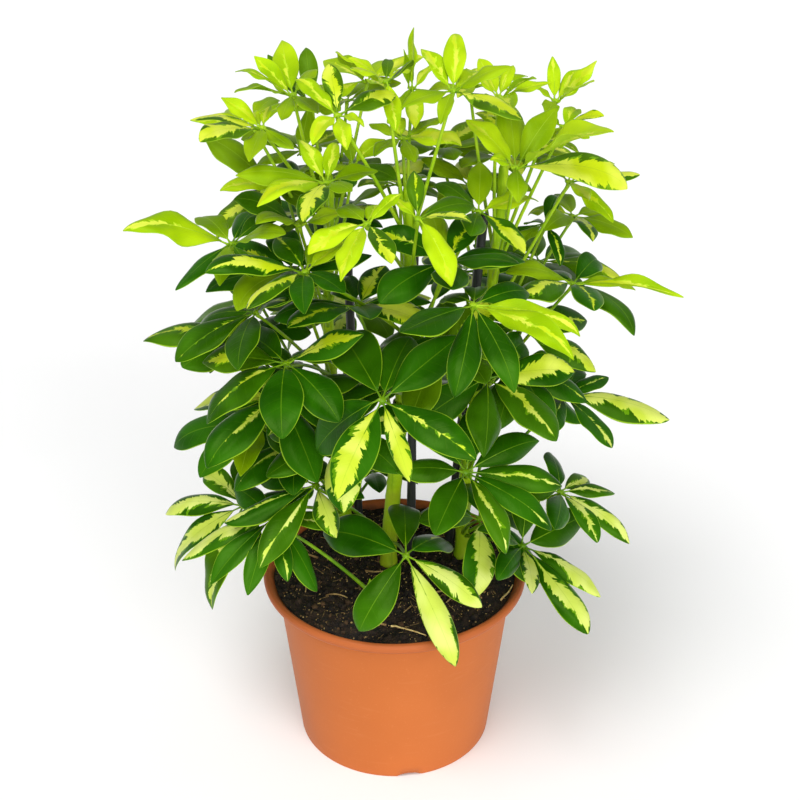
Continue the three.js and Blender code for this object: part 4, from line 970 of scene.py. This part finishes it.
class Graph:
    """A material's nodes, which take numbers and Values."""

    def __init__(self, name):
        self.material = bpy.data.materials.new(name)
        self.material.use_nodes = True
        self.nodes, self.links = self.material.node_tree.nodes, self.material.node_tree.links
        self.shader = self.nodes["Principled BSDF"]

    def node(self, kind, settings=(), give=0, **values):
        """Adds a node and gives one of its outputs. A value's name is its socket's, or _ and its number."""
        made = self.nodes.new("ShaderNode" + kind)
        for key, value in dict(settings).items():
            setattr(made, key, value)
        for key, value in values.items():
            self.feed(made.inputs[int(key[1:]) if key[0] == "_" else key.replace("_", " ")], value)
        return Value(self, made.outputs[give])

    def feed(self, socket, value):
        if isinstance(value, Value):
            self.links.new(value.socket, socket)
        else:
            socket.default_value = value

    def math(self, operation, a, b=0.0):
        return self.node("Math", dict(operation=operation), _0=a, _1=b)

    def step(self, value, low, high):
        """From 0 at low to 1 at high, with soft ends."""
        soft = dict(interpolation_type="SMOOTHSTEP")
        return self.node("MapRange", soft, Value=value, From_Min=low, From_Max=high)

    def split(self, vector):
        first = self.node("SeparateXYZ", _0=vector)
        return [Value(self, socket) for socket in first.socket.node.outputs]

    def read(self, name):
        """The three numbers of an attribute."""
        return self.split(self.node("Attribute", dict(attribute_name=name), give="Vector"))

    def place(self):
        """Where the surface is, in metres."""
        return self.node("TexCoord", give="Object")

    def noise(self, scale, detail, roughness=0.5, vector=None):
        vector = vector or self.place()
        return self.node("TexNoise", Vector=vector, Scale=scale, Detail=detail, Roughness=roughness)

    def noise_at(self, x, y, z, detail=1.0, roughness=0.5):
        """Noise in a space of the material's own."""
        return self.noise(1.0, detail, roughness, self.node("CombineXYZ", _0=x, _1=y, _2=z))

    def streaks(self, across, along):
        """Noise of so many grains a metre across the object's axis and along it."""
        stretched = self.node("Mapping", Vector=self.place(), Scale=(across, across, along))
        return self.noise(1.0, 3.0, vector=stretched)

    def mixed(self, share, a, b):
        """Between two colours, each a Value or red, green and blue."""
        a, b = (rgb(*colour) if isinstance(colour, tuple) else colour for colour in (a, b))
        return self.node("Mix", dict(data_type="RGBA"), give=2, _0=share, _6=a, _7=b)

    def finish(self, colour, roughness, height, strength, distance, **constants):
        """Gives the shader its colour, its roughness, its bumps and its other numbers."""
        self.feed(self.shader.inputs["Normal"],
                  self.node("Bump", Height=height, Strength=strength, Distance=distance))
        self.feed(self.shader.inputs["Base Color"], colour)
        self.feed(self.shader.inputs["Roughness"], roughness)
        for key, value in constants.items():
            self.shader.inputs[key.replace("_", " ")].default_value = value
        return self.material


def blade_material():
    """Dark glossy green or young lime, with yellow that spreads along the veins from the midrib."""
    g = Graph("leaf_blade")
    u, v, seed = g.read("place")
    variegated, young, under = g.read("looks")
    side = g.math("ABSOLUTE", u)
    half = seed * 61 + g.math("GREATER_THAN", u, 0.0) * 7.3
    vein = v - side * 0.13  # the same all along a side vein

    lean = g.noise_at(v * 1.7, half, 3.0, 0.0)
    wide_patch = g.noise_at(vein * 7, half, side * 0.7)
    streaks = g.noise_at(vein * 34, half, side * 1.4, 2.0, 0.6)
    islands = g.noise_at(vein * 11, half + 19, side * 2)
    amount = g.math("MINIMUM", variegated * 1.7, 1.0)
    reach = variegated * 1.24 - 0.44 + (lean - 0.5) * 2.2 * amount
    reach = reach + (wide_patch - 0.5) * 1.3 * amount + (streaks - 0.5) * 0.75 * amount
    reach = reach - g.step(v, 0.86, 1.0) * 0.2
    second = reach + 0.03 + (islands - 0.46) * 1.1 * amount
    yellow = g.step(reach - side, -0.012, 0.02)
    pale_green = g.step(second - side, -0.02, 0.04)

    tone = g.noise(22.0, 2.0)
    light = g.step(tone, 0.35, 0.65)
    deep = g.mixed(light, (24, 72, 0), (42, 98, 4))
    green = g.mixed(young, deep, g.mixed(light, (142, 181, 2), (178, 209, 16)))
    between = g.mixed(young, (88, 138, 8), (178, 214, 36))
    pale = g.step(g.noise(41.0, 1.0), 0.35, 0.65)
    sunlit = g.math("MINIMUM", young * 0.5 + g.step(g.split(g.place())[2], 0.26, 0.46), 1.0)
    shaded_gold = g.mixed(pale, (190, 208, 78), (208, 220, 116))
    gold = g.mixed(sunlit, shaded_gold, g.mixed(pale, (186, 206, 20), (212, 224, 74)))
    colour = g.mixed(yellow, g.mixed(pale_green, green, between), gold)

    # Side veins, midrib and the thin pale line along the edge.
    wave = g.math("PINGPONG", vein * FINE.veins, 0.5)
    veins = (1 - g.step(wave, 0.015, 0.075)) * g.step(side, 1.0, 0.55)
    midrib = 1 - g.step(side, 0.012, v * -0.022 + 0.05)
    rib_colour = g.mixed(young, (96, 140, 20), (186, 214, 60))
    colour = g.mixed(veins * 0.05, colour, rib_colour)
    colour = g.mixed(midrib * (0.6 - yellow * 0.4), colour, rib_colour)
    colour = g.mixed(g.step(side, 0.945, 0.985) * 0.75, colour, (158, 196, 40))
    colour = g.mixed(under * 0.34, colour, (132, 168, 44))

    height = g.noise(900.0, 2.0) * 0.12 + veins * -0.3 + midrib * -0.5
    height = height + g.noise_at(vein * 30, half, side * 5) * 0.4
    gloss = (tone - 0.5) * 0.25 + 0.33 + under * 0.2 + young * 0.07
    shine = dict(Specular_IOR_Level=0.2, Specular_Tint=(0.6, 1, 0.2, 1))
    return g.finish(colour, gloss, height, 0.35, 0.0006, **shine)


def stalk_material():
    g = Graph("leaf_stalk")
    along, young = g.read("place")[0], g.read("looks")[1]
    tone = g.noise(60.0, 3.0)
    light = g.step(tone, 0.35, 0.65)
    old = g.mixed(light, (84, 130, 4), (120, 160, 8))
    colour = g.mixed(young, old, g.mixed(light, (140, 184, 8), (172, 208, 30)))
    colour = g.mixed((1 - g.step(along, 0.0, 0.08)) * 0.35, colour, (150, 152, 72))
    return g.finish(colour, tone * 0.16 + 0.36, g.noise(700.0, 3.0), 0.3, 0.0004, Specular_IOR_Level=0.25)


def stem_material():
    """Green, with pale pores and a corky foot."""
    g = Graph("stem_bark")
    along = g.read("place")[0]
    tone = g.noise(35.0, 4.0, 0.6)
    green = g.mixed(g.step(tone, 0.32, 0.68), (140, 184, 0), (178, 212, 14))
    green = g.mixed(g.step(g.streaks(150, 12), 0.52, 0.7) * 0.7, green, (96, 142, 6))
    pores = g.step(g.noise(420.0, 2.0), 0.68, 0.76)
    corky = g.step(tone + along * -1.6, 0.1, 0.4)
    colour = g.mixed(corky * 0.4, g.mixed(pores * 0.5, green, (206, 210, 110)), (128, 124, 40))
    height = pores * 0.6 + g.noise(500.0, 3.0) * 0.5
    return g.finish(colour, tone * 0.2 + 0.42, height, 0.4, 0.0005, Specular_IOR_Level=0.2)


def pot_material():
    """Satin terracotta-coloured plastic."""
    g = Graph("terracotta_plastic")
    _, height, radius = g.read("place")
    cloud, speck = g.noise(9.0, 3.0), g.noise(420.0, 2.0)
    patch = g.step(cloud, 0.3, 0.7)
    colour = g.mixed(patch, (183, 100, 46), (190, 105, 50))
    colour = g.mixed(g.step(speck, 0.6, 0.75) * 0.18, colour, (206, 128, 80))
    colour = g.mixed(g.step(g.streaks(30, 240), 0.6, 0.72) * 0.07, colour, (210, 140, 96))
    lip = g.step(height, 0.915, 0.945)  # painted shade: the lip is coloured a duller, darker brown than the wall
    colour = g.mixed(lip * 0.85, colour, g.mixed(cloud, (164, 86, 42), (182, 98, 52)))
    inside = g.step(radius, 0.95, 0.925) * g.step(height, 0.94, 0.95)
    colour = g.mixed(inside * g.step(g.noise(60.0, 4.0), 0.4, 0.6) * 0.6, colour, (92, 58, 36))
    bumps = g.noise(1300.0, 2.0) + g.noise(90.0, 2.0) * 1.2
    gloss = patch * 0.06 + 0.42 + speck * 0.06
    return g.finish(colour, gloss, bumps, 0.12, 0.0006, Specular_IOR_Level=0.14)


def soil_material():
    g = Graph("potting_soil")
    lump = g.read("place")[0]
    coarse, fine = g.noise(130.0, 4.0, 0.65), g.noise(700.0, 3.0, 0.6)
    colour = g.mixed(g.step(coarse, 0.38, 0.66), (12, 8, 5), (52, 37, 23))
    colour = g.mixed(g.step(fine, 0.6, 0.7) * 0.7, colour, (112, 86, 50))
    colour = g.mixed(g.step(lump, 0.8, 0.98) * 0.6, colour, (116, 84, 48))
    return g.finish(colour, fine * 0.15 + 0.8, coarse + fine * 0.6, 0.9, 0.0018)


def fibre_material():
    g = Graph("peat_fibre")
    lump, twig, _ = g.read("place")
    straw = g.read("looks")[2]
    tone = g.noise(300.0, 3.0)
    light = g.mixed(lump, (142, 108, 62), (206, 176, 112))
    colour = g.mixed(twig * g.step(lump, 0.4, 0.5) * 0.7, light, (86, 58, 36))
    colour = g.mixed(g.step(tone, 0.5, 0.7) * 0.4, colour, (80, 56, 34))
    colour = g.mixed(straw, colour, g.mixed(g.step(tone, 0.4, 0.7), (250, 222, 150), (216, 172, 100)))
    return g.finish(colour, tone * 0.2 + 0.7, tone, 0.5, 0.0005)


def cane_material():
    g = Graph("cane_plastic")
    streak = g.streaks(260, 18)
    colour = g.mixed(g.step(streak, 0.35, 0.65), (14, 18, 16), (40, 46, 40))
    return g.finish(colour, streak * 0.2 + 0.38, streak + g.noise(900.0, 2.0) * 0.4, 0.35, 0.0005)


def clip_material():
    g = Graph("clip_plastic")
    tone = g.noise(240.0, 2.0)
    colour = g.mixed(g.step(tone, 0.35, 0.65), (30, 54, 30), (48, 78, 44))
    return g.finish(colour, tone * 0.12 + 0.4, g.noise(1100.0, 2.0), 0.2, 0.0004)


def floor_material():
    g = Graph("studio_floor")
    colour = g.mixed(g.step(g.noise(3.0, 2.0), 0.3, 0.7), (252, 252, 252), (254, 254, 254))
    return g.finish(colour, 0.85, g.noise(260.0, 2.0), 0.05, 0.0003, Specular_IOR_Level=0.15)


# ---- the pieces

def place(piece, node, slot):
    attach(piece, "root")
    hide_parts(node)


leafy = [blade_material(), stalk_material(), stem_material()]  # in the order of their slots
for name in STEMS:
    growth = Shape()
    add_stem(growth, name)
    for leaf in leaves:
        if leaf["stem"] == name:
            add_stalk(growth, leaf)
            for j in range(len(leaf["leaflets"])):
                add_leaflet(growth, leaf, j)
    place(growth.make(f"foliage_{name}", leafy), f"leafy_stem_{name}", "foliage")

place(pot_shape().make("pot_body", [pot_material()]), "pot", "pot_plastic")
crumbly = [soil_material(), fibre_material()]
place(soil_shape(np.random.default_rng(7)).make("soil_bed", crumbly, smooth=False), "soil", "soil")
cane_finish, clip_finish = cane_material(), clip_material()
for name, cane in CANES.items():
    place(cane_shape(cane).make(f"support_cane_{name}", [cane_finish]), f"cane_{name}", "cane")
    place(clip_shape(STEMS[name], cane).make(f"stem_clip_{name}", [clip_finish]), f"clip_{name}", "clip")

# ---- the studio

bpy.ops.mesh.primitive_plane_add(size=60, location=(0, 2, 0))
floor = bpy.context.object
floor.name = "studio_floor"
floor.data.materials.append(floor_material())

world = bpy.data.worlds.new("studio")
world.use_nodes = True
background = world.node_tree.nodes["Background"].inputs
background["Color"].default_value, background["Strength"].default_value = (1, 1, 1, 1), 0.42
bpy.context.scene.world = world


def lamp(name, toward, strength, angle):
    """A wide, soft light from far off, given the direction that it comes from."""
    data = bpy.data.lights.new(name, "SUN")
    data.energy, data.angle = strength, angle * DEGREE
    made = bpy.data.objects.new(name, data)
    made.rotation_euler = Vector(toward).to_track_quat("Z", "Y").to_euler()
    bpy.context.scene.collection.objects.link(made)


lamp("key", (-0.35, -0.55, 1.2), 1.55, 34)
lamp("fill", (0.3, -1.0, 0.28), 2.75, 60)

camera = bpy.data.objects.new("camera", bpy.data.cameras.new("camera"))
camera.data.lens, camera.data.sensor_width = 72, 36
camera.location, looks_down = (0.005, -1.213, 1.010), 28.7
camera.rotation_euler = ((90 - looks_down) * DEGREE, 0, 0)
bpy.context.scene.collection.objects.link(camera)
bpy.context.scene.camera = camera
bpy.context.scene.view_settings.view_transform = "Standard"


def numbers(box):
    """A box as plain lists."""
    return [[float(x) for x in corner] for corner in box]
